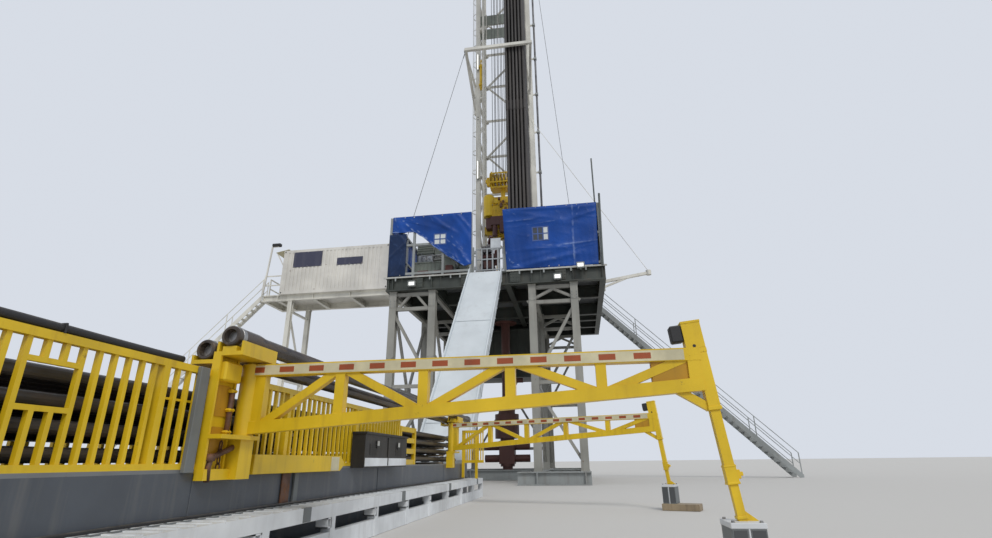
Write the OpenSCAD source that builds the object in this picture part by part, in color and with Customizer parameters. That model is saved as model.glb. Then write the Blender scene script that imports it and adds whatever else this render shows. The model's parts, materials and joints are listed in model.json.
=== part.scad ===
// Land drilling rig at half size: substructure, drill floor, mast, hoist,
// driller's house, V-door ramp, catwalk and two swinging pipe arms.
// The origin is the well centre at ground level. +Z is up, the V-door faces -Y.

/* [Drill floor] */
// Height of the drill floor above the ground
floor_z = 4125; // [3900:25:4300]
// Left edge of the drill floor
floor_left = -2150; // [-2250:10:-2130]
// Right edge of the drill floor
floor_right = 2450; // [2400:10:2600]
// Front edge of the drill floor, at the V-door
floor_front = -3050; // [-3150:10:-3010]
// Back edge of the drill floor
floor_back = 2000; // [1980:10:2100]
// Thickness of the deck plate
deck_t = 20; // [12:1:24]
// Depth of the floor girders
girder_h = 290; // [250:5:320]

/* [Substructure] */
// Centre of the left tower's outer columns
left_outer_x = -2000; // [-2040:10:-1980]
// Centre of the right tower's outer columns
right_outer_x = 1800; // [1760:10:1860]
// Distance between the column centres of a tower
tower_w = 850; // [800:10:880]
// Size of a square column
column_s = 150; // [120:5:160]
// Height of the base skids
base_h = 225; // [200:5:250]
// Size of the bracing bars
brace_s = 70; // [50:2:80]

/* [Mast] */
// Height of the mast above the drill floor
mast_h = 21650; // [19500:50:22500]
// Number of lattice bays
bays = 16; // [15:1:17]
// Outer width of the mast
mast_w = 1600; // [1540:10:1640]
// Distance of the front legs' face behind the well centre
mast_front_y = 50; // [40:5:60]
// Outer depth of the mast
mast_d = 1200; // [1150:10:1260]
// Size of a square leg
leg_s = 130; // [120:2:140]
// Size of the girts and diagonals
lattice_s = 60; // [44:2:64]

/* [Hoist] */
// Height of the top drive's lower face above the ground
drive_z = 6150; // [6000:10:6400]
// Width of the top drive's frame
drive_w = 900; // [860:10:920]
// Diameter of the drill line
line_d = 16; // [12:1:18]

/* [Windwalls] */
// Height of the windwalls
wall_h = 1400; // [1300:10:1500]
// Left side of the V-door opening
vdoor_left = -300; // [-340:5:-290]
// Right side of the V-door opening
vdoor_right = 425; // [410:5:460]
// Thickness of a tarpaulin with its folds
tarp_t = 8; // [6:1:10]

/* [Driller's house] */
// Length of the house
house_l = 2900; // [2800:10:3000]
// Width of the house
house_w = 1150; // [1100:10:1200]
// Height of the house
house_h = 1210; // [1180:5:1250]
// Right end of the house
house_right = -2800; // [-2900:10:-2780]
// Front face of the house
house_front = -1250; // [-1300:10:-1200]
// Thickness of the house walls
house_t = 30; // [24:1:40]

/* [Catwalk] */
// Height of the catwalk deck
catwalk_z = 385; // [370:5:400]
// Width of the catwalk
catwalk_w = 650; // [630:10:660]
// Far end of the catwalk, at the ramp
catwalk_end = -6350; // [-6400:10:-6250]
// Length of the catwalk
catwalk_l = 7800; // [7600:50:8000]
// Height of the guards above the deck
guard_h = 370; // [350:5:380]
// Pitch of the guard bars
bar_pitch = 56; // [52:1:64]
// Height of the side walkway
walk_z = 215; // [200:5:230]
// Width of the side walkway
walk_w = 200; // [180:5:210]

/* [Pipe arms] */
// Reach of the near arm from its hinge
arm_l = 1826; // [1800:4:1860]
// Reach of the far arm from its hinge
far_arm_l = 2165; // [2135:5:2195]
// Angle that the far arm stands at, towards the front
far_turn = 20; // [16:1:24]
// Lean of the arms' legs
leg_lean = 5.9; // [5:0.1:6.5]
// Height of the near arm's top face
arm_z = 800; // [792:1:808]
// Depth of an arm at its hinge
arm_root_h = 290; // [280:5:300]
// Depth of an arm at its tip
arm_tip_h = 160; // [155:1:170]
// Place of the near arm along the catwalk
near_y = -11150; // [-11200:10:-11100]
// Place of the far arm along the catwalk
far_y = -7400; // [-7450:10:-7350]
// Size of the arms' square tubes
tube_s = 48; // [46:1:52]
// Diameter of the pipes that lie on the cradles
pipe_d = 82; // [76:1:84]

/* [Hidden] */

floor_w = floor_right - floor_left;
floor_mid_x = (floor_right + floor_left) / 2;
frame_top = floor_z - deck_t;
frame_bottom = frame_top - girder_h;
column_rows = [floor_front + 150, -500, floor_back - 200];
left_inner_x = left_outer_x + tower_w;
right_inner_x = right_outer_x - tower_w;
base_front = floor_front - 250;
base_in = 350;
base_out = 100;
bay_h = mast_h / bays;
mast_top = floor_z + mast_h;
leg_x = (mast_w - leg_s) / 2;
mast_back_y = mast_front_y + mast_d;
front_leg_y = mast_front_y + leg_s / 2;
back_leg_y = mast_back_y - leg_s / 2;
rotary_r = 350;
rotary_bore_r = 238;
nipple_top = frame_bottom - 40;
pan_r = 285;
pipe_x0 = 440;
pipe_pitch = 88;
pipe_cols = 6;
pipe_rows = 9;
pipe_y0 = -2260;
stand_d = 70;
stand_h = 14000;
board_z = floor_z + bay_h * 9.31;
board_x = 1150;
board_y = -480;
house_left = house_right - house_l;
house_back = house_front + house_w;
platform_h = 150;
house_z = floor_z + 375;
deck_x = catwalk_w / 2;
catwalk_start = catwalk_end - catwalk_l;
guard_l = 5150;
left_door_y = house_front + 390;
right_door_y = 120;
door_gap = 500;
beam_ys = [house_front + 100, house_back - 100];
cradle_t = 16;
cradle_top = arm_z + 25;
shelf_top = arm_z - 5;
saddle_h = 20;
pin_x = deck_x + 45;
foot_h = 200;
sleeper_h = 50;
leg_above = 80;
pin_r = 20;
socket = 35;
sleeve_wall = 4;
cap_w = 71;
clamp_z = 315;
clamp_h = 64;
sleeve_below = 230;
sleeve_above = 105;
leg_tube = socket - 0.6;
rail_s = 25;
window_bar = 37;
window_z = guard_h * 0.46;
window_h = guard_h * 0.3;
gate_x = vdoor_left + 60;
gate_y = floor_front + 115;
gate_pin_r = 6;
gate_hinge_z = [floor_z + 100, floor_z + 460];
drive_h = 1250;
block_z = drive_z + drive_h + 150;
block_h = 750;
crown_z = mast_top;
line_gap = 0.3;
sheaves = 6;
sheave_pitch = 100;
sheave_r = 230;
drum_r = 170;
drum_y = 1560;
fast_y = drum_y - drum_r - line_d / 2 - line_gap;
block_sheave_z = block_z + 400;
quill_r = 40;
link_pin_r = 20;
belly_z = floor_z + bay_h * 5.38;
tray_bays = 9;
cabinet_y = catwalk_start + guard_l - 930;
belly_y = -1500;
belly_x = mast_w / 2 + 30;
rail_x = 560;
step_rise = 110;

// A bar of square section s between two points
module bar(a, b, s) {
    v = b - a;
    l = norm(v);
    translate(a)
        rotate([0, acos(v[2] / l), atan2(v[1], v[0])])
            translate([-s / 2, -s / 2, 0])
                cube([s, s, l]);
}

// A round rod between two points
module rod(a, b, d) {
    v = b - a;
    l = norm(v);
    translate(a)
        rotate([0, acos(v[2] / l), atan2(v[1], v[0])])
            cylinder(h = l, d = d, $fn = 24);
}

// The section of a rolled H beam, centred, with its flanges level
module h_section(h, b, web, flange) {
    union() {
        translate([-b / 2, h / 2 - flange])
            square([b, flange]);
        translate([-b / 2, -h / 2])
            square([b, flange]);
        translate([-web / 2, -h / 2])
            square([web, h]);
    }
}

// An H beam along X from x0 to x1 at y, between two heights
module beam_x(x0, x1, y, z0, h, b) {
    translate([x0, y, z0 + h / 2])
        rotate([90, 0, 90])
            linear_extrude(x1 - x0)
                h_section(h, b, b * 0.14, h * 0.09);
}

// An H beam along Y from y0 to y1 at x
module beam_y(y0, y1, x, z0, h, b) {
    translate([x, y1, z0 + h / 2])
        rotate([90, 0, 0])
            linear_extrude(y1 - y0)
                h_section(h, b, b * 0.14, h * 0.09);
}

// An H column from z0 to z1
module column(x, y, z0, z1, s) {
    translate([x, y, z0])
        linear_extrude(z1 - z0)
            h_section(s, s, s * 0.14, s * 0.12);
}

// One base skid: two long beams under the column rows, with cross beams
module base_skid(x0, x1, inner, outer) {
    for (x = [inner, outer])
        beam_y(base_front, floor_back, x, 0, base_h, column_s + 20);
    for (y = concat([base_front + 60], column_rows))
        beam_x(x0, x1, y, 0, base_h, 110);
}

module base_left() {
    color("darkgray")
        base_skid(left_outer_x - base_out, left_inner_x + base_in, left_inner_x, left_outer_x);
}

module base_right() {
    color("darkgray")
        base_skid(right_inner_x - base_in, right_outer_x + base_out, right_inner_x, right_outer_x);
}

// Beams that hold the two skids apart in front of and behind the well
module base_spreader() {
    x0 = left_inner_x + base_in;
    x1 = right_inner_x - base_in;
    color("darkgray")
        for (y = [column_rows[1], column_rows[2]]) {
            beam_x(x0, x1, y, 0, base_h, 110);
            for (x = [x0, x1 - 20])
                translate([x, y - 100, 0])
                    cube([20, 200, base_h]);
        }
}

// One tower of the substructure: six columns, rails and diagonals
module tower(outer, inner) {
    z0 = base_h;
    z1 = frame_bottom;
    upper = z1 - 375;
    middle = z0 + (upper - z0) * 0.5;
    for (x = [outer, inner], y = column_rows) {
        column(x, y, z0 + 20, z1 - 20, column_s);
        translate([x - column_s / 2 - 10, y - column_s / 2 - 10, z0])
            cube([column_s + 20, column_s + 20, 20]);
        translate([x - column_s / 2 - 10, y - column_s / 2 - 10, z1 - 20])
            cube([column_s + 20, column_s + 20, 20]);
    }
    for (y = column_rows) {
        for (z = [z1 - 60, upper, middle])
            bar([outer, y, z], [inner, y, z], brace_s);
        bar([outer, y, upper - 60], [inner, y, middle + 60], brace_s - 12);
        for (side = [-1, 1])
            bar([(outer + inner) / 2 + side * 70, y, z1 - 70],
                [side < 0 ? outer + 110 : inner - 110, y, upper + 10], brace_s - 18);
        bar([outer, y, z0 + 120], [inner, y, middle - 60], brace_s - 12);
    }
    for (x = [outer, inner]) {
        for (z = [z1 - 60, middle])
            translate([x - brace_s / 2 - 4, column_rows[0], z - brace_s / 2])
                cube([brace_s + 8, column_rows[2] - column_rows[0], brace_s]);
        for (k = [0, 1]) {
            ya = column_rows[k];
            yb = column_rows[k + 1];
            ym = (ya + yb) / 2;
            for (side = [-1, 1], end = [ya, yb]) {
                zm = middle + side * 70;
                foot = [x, end + sign(ym - end) * (20 + 30 * k), side > 0 ? z1 - 150 : z0 + 130];
                bar(foot, [x, ym + sign(end - ym) * 40, zm], brace_s - 16 - 6 * k);
            }
            translate([x - brace_s / 2 + 2, ym - 130, middle - 130]) cube([brace_s - 4, 260, 260]);
        }
    }
}

module tower_left() {
    color("gainsboro") tower(left_outer_x, left_inner_x);
}

module tower_right() {
    color("gainsboro") tower(right_outer_x, right_inner_x);
}

// Cross bracing between the towers behind the well, and a tie in front
module tower_cross() {
    x0 = left_inner_x + column_s / 2;
    x1 = right_inner_x - column_s / 2;
    yb = column_rows[2];
    top = frame_bottom - 60;
    low = base_h + 500;
    color("gainsboro") {
        for (z = [top, low])
            translate([x0, yb - brace_s / 2, z - brace_s / 2])
                cube([x1 - x0, brace_s, brace_s]);
        bar([x0 + 60, yb, top], [x1 - 60, yb, low], brace_s - 12);
        bar([x1 - 60, yb, top], [x0 + 60, yb, low], brace_s - 20);
        for (x = [x0, x1 - 20], z = [top, low])
            translate([x, yb - 70, z - 70])
                cube([20, 140, 108]);
    }
}

// Grid of girders on top of the towers, open under the rotary table
module floor_frame() {
    z = frame_bottom;
    color("dimgray") {
        for (y = [floor_front + 60, -1750, -300, 300, 1050, floor_back - 60])
            beam_x(floor_left, floor_right, y, z, girder_h, 120);
        for (x = [floor_left + 60, left_outer_x, left_inner_x, -450, 450, right_inner_x, right_outer_x, floor_right - 60])
            beam_y(floor_front, floor_back, x, z, girder_h, 120);
        for (side = [-1, 1])
            translate([-40, side > 0 ? 250 : -pan_r, nipple_top])
                cube([80, pan_r - 250, z - nipple_top + 10]);
    }
}

module floor_deck() {
    color("dimgray")
        difference() {
            translate([floor_left, floor_front, frame_top])
                cube([floor_w, floor_back - floor_front, deck_t]);
            translate([0, 0, frame_top - 1])
                cylinder(h = deck_t + 2, r = rotary_r + 10, $fn = 96);
        }
}

module rotary_table() {
    color("darkslategray")
        difference() {
            translate([0, 0, frame_top])
                cylinder(h = deck_t + 10, r = rotary_r, $fn = 96);
            translate([0, 0, frame_top - 1])
                cylinder(h = deck_t + 12, r = rotary_bore_r, $fn = 96);
        }
}

// Blowout preventer stack on the well flange
module bop_stack() {
    flange_r = 168.5;
    flange_t = 56;
    bolt_r = 147.6;
    bolt_d = 21;
    bore_r = 86.5;
    color("firebrick")
        difference() {
            union() {
                cylinder(h = flange_t, r = flange_r, $fn = 64);
                cylinder(h = 330, r = 120, $fn = 64);
                translate([0, 0, 290])
                    cylinder(h = 56, r = flange_r, $fn = 64);
                translate([-180, -170, 346])
                    cube([360, 340, 520]);
                for (z = [470, 740], side = [-1, 1])
                    translate([side * 180, 0, z])
                        rotate([0, side * 90, 0])
                            cylinder(h = 360, r = 85, $fn = 32);
                translate([0, 0, 866])
                    cylinder(h = 56, r = flange_r, $fn = 64);
                translate([0, 0, 922])
                    cylinder(h = 560, r = 290, $fn = 64);
                translate([0, 0, 1482])
                    cylinder(h = 110, r = 200, $fn = 64);
                translate([0, 0, 1592])
                    cylinder(h = nipple_top - 1592, r = 110, $fn = 64);
                translate([0, 0, nipple_top - 20])
                    cylinder(h = 20, r = pan_r, $fn = 64);
                translate([0, 0, 2300])
                    rotate([0, 90, 0])
                        cylinder(h = 420, r = 60, $fn = 32);
            }
            translate([0, 0, -1])
                cylinder(h = nipple_top + 2, r = bore_r, $fn = 64);
            for (a = [0:22.5:359])
                rotate(a)
                    translate([bolt_r, 0, -1])
                        cylinder(h = flange_t + 2, d = bolt_d, $fn = 24);
        }
}

// Posts beside the V-door opening, the left one with the gate's hinge pins
module gate_posts() {
    color("gray") {
        for (x = [vdoor_left + 5, vdoor_right - 40])
            translate([x, gate_y - 20, floor_z]) cube([35, 40, 600]);
        for (z = gate_hinge_z) {
            translate([vdoor_left + 40, gate_y - 14, z - 12]) cube([34, 28, 12]);
            translate([gate_x, gate_y, z - 12]) cylinder(h = 80, r = gate_pin_r, $fn = 32);
        }
    }
}

// Posts and rails of a side wall at x, with a doorway between two places
module side_wall_frame(x, door0, door1) {
    s = 50;
    y0 = floor_front + 20;
    y1 = floor_back - 20;
    for (y = [y0, -1950, door0 - s, door1, 1150, y1 - s])
        translate([x, y, floor_z]) cube([s, s, wall_h]);
    translate([x, y0, floor_z + wall_h - s]) cube([s, y1 - y0, s]);
    for (z = [floor_z + 40, floor_z + wall_h * 0.5]) {
        translate([x, y0, z]) cube([s, door0 - y0, s]);
        translate([x, door1, z]) cube([s, y1 - door1, s]);
    }
}

// Posts and rails that carry the tarpaulins around the floor
module windwall_frame() {
    s = 50;
    x0 = floor_left + 20;
    x1 = floor_right - 20;
    y0 = floor_front + 20;
    y1 = floor_back - 20;
    h = wall_h;
    color("lightgray") {
        for (x = [x0 + 530, x0 + 1180, vdoor_left - s, vdoor_right, x1 - 1330, x1 - 680])
            translate([x, y0, floor_z]) cube([s, s, h]);
        side_wall_frame(x0, left_door_y, left_door_y + door_gap);
        side_wall_frame(x1 - s, right_door_y, right_door_y + door_gap);
        for (x = [-1200, -300, 600, 1500])
            translate([x, y1 - s, floor_z]) cube([s, s, h]);
        for (z = [floor_z + 40, floor_z + h * 0.5, floor_z + h - s]) {
            translate([x0, y0, z]) cube([vdoor_left - x0, s, s]);
            translate([vdoor_right, y0, z]) cube([x1 - vdoor_right, s, s]);
            translate([x0, y1 - s, z]) cube([x1 - x0, s, s]);
        }
    }
}

// A tarpaulin in the XZ plane
module tarp_x(x0, x1, y) {
    translate([x0, y, floor_z + 8])
        cube([x1 - x0, tarp_t, wall_h + 4]);
}

module tarp_front_left() {
    y = floor_front + 20 - tarp_t;
    x0 = floor_left + 12;
    color("royalblue")
        difference() {
            tarp_x(x0, vdoor_left, y);
            translate([0, y + tarp_t + 1, 0])
                rotate([90, 0, 0])
                    linear_extrude(tarp_t + 2)
                        polygon([
                            [x0 + 380, floor_z + 790],
                            [x0 + 520, floor_z + 830],
                            [vdoor_left - 120, floor_z + 60],
                            [x0 + 400, floor_z + 50]
                        ]);
        }
}

module tarp_front_right() {
    color("royalblue")
        tarp_x(vdoor_right, floor_right - 12, floor_front + 20 - tarp_t);
}

// A tarpaulin in the YZ plane
module tarp_y(x) {
    translate([x, floor_front + 20, floor_z + 8])
        cube([tarp_t, floor_back - floor_front - 40, wall_h + 4]);
}

module tarp_side_left() {
    color("royalblue")
        difference() {
            tarp_y(floor_left + 20 - tarp_t);
            translate([floor_left, left_door_y, floor_z])
                cube([60, door_gap, wall_h - 50]);
            for (y = beam_ys)
                translate([floor_left, y - 50, house_z - platform_h - 5])
                    cube([60, 100, platform_h + 10]);
        }
}

module tarp_side_right() {
    color("royalblue")
        difference() {
            tarp_y(floor_right - 20);
            translate([floor_right - 60, right_door_y, floor_z])
                cube([60, door_gap, wall_h - 50]);
        }
}

module tarp_back() {
    color("royalblue")
        tarp_x(floor_left + 12, floor_right - 12, floor_back - 20);
}

// Swing gate across the V-door opening
module vdoor_gate() {
    x0 = gate_x + 20;
    w = vdoor_right - 48 - x0;
    y = gate_y - rail_s / 2;
    color("gray") {
        for (z = [floor_z + 60, floor_z + 300, floor_z + 540])
            translate([x0, y, z]) cube([w, rail_s, rail_s]);
        for (k = [0:5])
            translate([x0 + k * (w - rail_s) / 5, y, floor_z + 60]) cube([rail_s, rail_s, 505]);
        for (z = gate_hinge_z)
            translate([gate_x, gate_y, z])
                difference() {
                    union() {
                        cylinder(h = 60, r = 13, $fn = 32);
                        translate([0, -6, 0]) cube([22, 12, 60]);
                    }
                    translate([0, 0, -1]) cylinder(h = 62, r = gate_pin_r + 0.08, $fn = 32);
                }
    }
}

// Ramp from the V-door down to the catwalk
module vdoor_ramp() {
    w = 700;
    top = floor_z - 5;
    foot = catwalk_z + 40;
    flange = 90;
    y1 = floor_front;
    y0 = catwalk_end - 80;
    t = 60;
    color("lightsteelblue") {
        rotate([90, 0, 90])
            translate([0, 0, -w / 2])
                linear_extrude(w)
                    polygon([[y1, top], [y1, top - t * 1.4], [y0 + t * 1.4, foot - 40], [y0, foot - 40], [y0, foot]]);
        for (x = [-w / 2, w / 2 - 22])
            translate([x, 0, 0])
                rotate([90, 0, 90])
                    linear_extrude(22)
                        polygon([[y1, top + flange], [y1, top - 160], [y0 + 160, foot - 40], [y0, foot - 40], [y0, foot + flange]]);
    }
}

// One side of the mast: two legs with girts and diagonals
module mast_side(x) {
    for (y = [front_leg_y, back_leg_y])
        translate([x - leg_s / 2, y - leg_s / 2, floor_z])
            cube([leg_s, leg_s, mast_h]);
    for (k = [0:bays]) {
        z = floor_z + max(lattice_s / 2, min(k * bay_h, mast_h - lattice_s / 2));
        bar([x, front_leg_y, z], [x, back_leg_y, z], lattice_s);
    }
    for (k = [0:bays - 1]) {
        flip = k % 2;
        ya = flip == 0 ? front_leg_y : back_leg_y;
        yb = flip == 0 ? back_leg_y : front_leg_y;
        bar([x, ya, floor_z + k * bay_h + 60], [x, yb, floor_z + (k + 1) * bay_h - 60], lattice_s - 10);
    }
}

module mast_side_left() {
    color("ivory") mast_side(-leg_x);
}

module mast_side_right() {
    color("ivory") mast_side(leg_x);
}

// Girts and diagonals between the back legs
module mast_back() {
    x0 = -leg_x + leg_s / 2;
    x1 = leg_x - leg_s / 2;
    s = lattice_s;
    color("ivory")
        for (k = [0:bays]) {
            z = floor_z + max(s / 2, min(k * bay_h, mast_h - s / 2));
            translate([x0, back_leg_y - s / 2, z - s / 2])
                cube([x1 - x0, s, s]);
            if (k < bays) {
                flip = k % 2;
                xa = flip == 0 ? x0 + 45 : x1 - 45;
                xb = -xa;
                bar([xa, back_leg_y, z], [xb, back_leg_y, floor_z + min((k + 1) * bay_h, mast_h - s / 2)], s - 10);
            }
        }
}

// A row of sheaves on the X axis through the origin
module sheave_row() {
    for (k = [0:sheaves - 1])
        translate([(k - (sheaves - 1) / 2) * sheave_pitch - 25, 0, 0])
            rotate([0, 90, 0]) cylinder(h = 50, r = sheave_r, $fn = 64);
}

// Crown frame with its cluster of sheaves and a guard rail
module crown_block() {
    z = crown_z;
    x0 = -mast_w / 2 - 150;
    x1 = mast_w / 2 + 150;
    y0 = mast_front_y - 400;
    y1 = mast_back_y + 200;
    color("ivory") {
        difference() {
            translate([x0, y0, z]) cube([x1 - x0, y1 - y0, 60]);
            translate([-330, -260, z - 1]) cube([660, 520, 62]);
            translate([-60, fast_y - 60, z - 1]) cube([120, 120, 62]);
        }
        for (x = [x0, x1 - 20], y = [y0, y1 - 20])
            translate([x, y, z + 60]) cube([20, 20, 500]);
        for (h = [z + 300, z + 540]) {
            for (y = [y0, y1 - 20])
                translate([x0, y, h]) cube([x1 - x0, 20, 20]);
            for (x = [x0, x1 - 20])
                translate([x, y0, h]) cube([20, y1 - y0, 20]);
        }
    }
    color("gold") {
        for (x = [-360, 340])
            translate([x, -120, z + 60]) cube([20, 240, 420]);
        translate([-350, 0, z + 300])
            rotate([0, 90, 0]) cylinder(h = 700, r = 40, $fn = 32);
        translate([0, 0, z + 300]) sheave_row();
        for (x = [-60, 40])
            translate([x, fast_y - sheave_r - 120, z + 60]) cube([20, 240, 420]);
        translate([-25, fast_y - sheave_r - line_d / 2 - line_gap, z + 300])
            rotate([0, 90, 0]) cylinder(h = 50, r = sheave_r, $fn = 64);
        translate([-50, fast_y - sheave_r - line_d / 2 - line_gap, z + 300])
            rotate([0, 90, 0]) cylinder(h = 100, r = 40, $fn = 32);
    }
}

// Platform high on the mast that holds the upper ends of the racked pipe
module racking_board() {
    z = board_z;
    s = 70;
    y0 = pipe_y0 - 350;
    y1 = board_y;
    x_out = board_x;
    x_in = 330;
    color("ivory") {
        translate([-x_out, y0, z]) cube([2 * x_out, 240, s]);
        for (side = [-1, 1]) {
            for (x = [x_in, x_out - s])
                translate([side > 0 ? x : -x - s, y0, z]) cube([s, y1 + s - y0, s]);
            translate([side > 0 ? x_in : -x_out, y1, z]) cube([x_out - x_in, s, s]);
            translate([side > 0 ? leg_x - leg_s / 2 : -leg_x + leg_s / 2 - s, y1, z])
                cube([s, mast_front_y - y1, s]);
            translate([side > 0 ? leg_x - leg_s / 2 : -leg_x + leg_s / 2 - s, mast_front_y - 30, z - 500])
                cube([s, 30, 500]);
            bar([side * (leg_x - 30), mast_front_y - 28, z - 440], [side * (leg_x - 30), y1 + 110, z + 30], 46);
        }
        translate([-x_out, y0 + 4, z + s - 2]) cube([x_out - x_in - 4, y1 - y0 + 20, 10]);
        for (k = [0:pipe_rows])
            translate([x_in + 20, pipe_y0 + (k - 0.5) * pipe_pitch - 7, z + 10])
                cube([x_out - x_in - 40, 14, 30]);
    }
}

// Frame that stands out in front of the mast at mid height
module belly_frame() {
    z = belly_z;
    s = 60;
    y0 = belly_y;
    x = belly_x;
    color("ivory") {
        for (side = [-1, 1]) {
            translate([side * x - s / 2, y0, z]) cube([s, mast_front_y - y0 + leg_s, s]);
            bar([side * x, y0 + 40, z + 30], [side * x, mast_front_y + 60, z - 900], s - 16);
            translate([side * x - s / 2, mast_front_y, z - 1000]) cube([s, leg_s, 1060]);
        }
        translate([-x - s / 2, y0, z]) cube([2 * x + s, s, s]);
    }
}

// Cable tray up the right side of the mast, bracketed to its girts
module cable_tray() {
    x0 = mast_w / 2;
    y0 = mast_front_y + 490;
    w = 220;
    h = bay_h * tray_bays + 320;
    color("dimgray")
        union() {
            difference() {
                translate([x0, y0, floor_z]) cube([60, w, h]);
                translate([x0 + 20, y0 + 15, floor_z + 20]) cube([60, w - 30, h - 40]);
            }
            for (k = [1:2:tray_bays])
                translate([leg_x + lattice_s / 2, y0 + 40, floor_z + k * bay_h - 20])
                    cube([x0 - leg_x - lattice_s / 2 + 1, w - 80, 40]);
        }
}

// Stands of drill pipe on the setback
module racked_pipe() {
    color("saddlebrown")
        for (i = [0:pipe_cols - 1], j = [0:pipe_rows - 1])
            translate([pipe_x0 + i * pipe_pitch, pipe_y0 + j * pipe_pitch, floor_z])
                cylinder(h = stand_h, d = stand_d, $fn = 16);
}

// Drawworks behind the mast with its drum and side housings
module drawworks() {
    y = drum_y;
    z = floor_z;
    color("goldenrod") {
        translate([-800, y - 230, z]) cube([1600, 460, 60]);
        for (x = [-800, 500])
            translate([x, y - 200, z + 60]) cube([300, 400, 560]);
        translate([-500, y, z + 330])
            rotate([0, 90, 0]) cylinder(h = 1000, r = drum_r, $fn = 48);
        for (x = [-420, 400])
            translate([x, y, z + 330])
                rotate([0, 90, 0]) cylinder(h = 20, r = drum_r + 70, $fn = 48);
    }
}

// The line that runs from the crown down to the drum
module fast_line() {
    z0 = floor_z + 330;
    color("black")
        translate([0, fast_y, z0])
            cylinder(h = crown_z + 300 - z0, d = line_d, $fn = 16);
}

// Two rails that guide the top drive, bracketed to the front legs
module guide_rails() {
    inner = leg_x - leg_s / 2;
    color("ivory")
        for (side = [-1, 1]) {
            translate([side * rail_x - 30, -40, floor_z + 200])
                cube([60, 80, mast_h - 260]);
            for (k = [1:2:bays - 1])
                translate([side > 0 ? rail_x - 30 : -inner, -40, floor_z + k * bay_h - 30])
                    cube([inner - rail_x + 30, 40 + mast_front_y + 100, 60]);
        }
}

// Top drive: a guided frame around the motor and gearbox
module top_drive() {
    z = drive_z;
    w = drive_w;
    y0 = -330;
    shoe = rail_x - 30 - 6 - w / 2;
    color("gold")
        difference() {
            union() {
                translate([-w / 2, -120, z + 100]) cube([w, 240, 130]);
                translate([-w / 2, -120, z + drive_h - 130]) cube([w, 240, 130]);
                for (x = [-w / 2, w / 2 - 80])
                    translate([x, -120, z + 100]) cube([80, 240, drive_h - 100]);
                for (side = [-1, 1], h = [150, drive_h - 250])
                    translate([side > 0 ? w / 2 : -w / 2 - shoe, -70, z + h]) cube([shoe, 140, 220]);
                translate([-280, y0, z + 330]) cube([560, 520, 560]);
                translate([0, 0, z]) cylinder(h = 340, r = 130, $fn = 48);
                translate([-230, 0, z + 50])
                    rotate([0, 90, 0]) cylinder(h = 460, r = link_pin_r, $fn = 48);
            }
            translate([0, 0, z - 1]) cylinder(h = 330, r = quill_r + 0.08, $fn = 48);
        }
}

module travelling_block() {
    z = block_z;
    color("gold") {
        for (x = [-330, 290])
            translate([x, -170, z + 150]) cube([40, 340, block_h - 250]);
        translate([-330, -170, z + 120]) cube([660, 340, 40]);
        translate([-330, 0, block_sheave_z])
            rotate([0, 90, 0]) cylinder(h = 660, r = 40, $fn = 32);
        translate([0, 0, block_sheave_z]) sheave_row();
        translate([0, 0, z - 150]) cylinder(h = 280, r = 60, $fn = 48);
    }
}

module quill() {
    z = drive_z;
    color("dimgray") {
        translate([0, 0, z - 420]) cylinder(h = 700, r = quill_r, $fn = 48);
        translate([0, 0, z - 420]) cylinder(h = 120, r = 55, $fn = 48);
    }
}

// Two links with the pipe elevator, hung from pins on the top drive
module elevator_links() {
    z = drive_z + 50;
    color("darkorange") {
        for (side = [-1, 1]) {
            translate([side * 200 - 15, 0, z])
                rotate([0, 90, 0])
                    difference() {
                        cylinder(h = 30, r = 45, $fn = 48);
                        translate([0, 0, -1]) cylinder(h = 32, r = link_pin_r + 0.08, $fn = 48);
                    }
            translate([side * 200 - 15, -22, z - 1150]) cube([30, 44, 1112]);
        }
        difference() {
            translate([0, 0, z - 1290]) cylinder(h = 160, r = 215, $fn = 48);
            translate([0, 0, z - 1291]) cylinder(h = 162, r = 75, $fn = 48);
        }
    }
}

// Parts of the drill line between the crown and the block
module drill_lines() {
    y = sheave_r + line_d / 2 + line_gap;
    color("black")
        for (k = [0:sheaves - 1], side = [-1, 1])
            translate([(k - (sheaves - 1) / 2) * sheave_pitch, side * y, block_sheave_z])
                cylinder(h = crown_z + 300 - block_sheave_z, d = line_d, $fn = 16);
}

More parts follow.
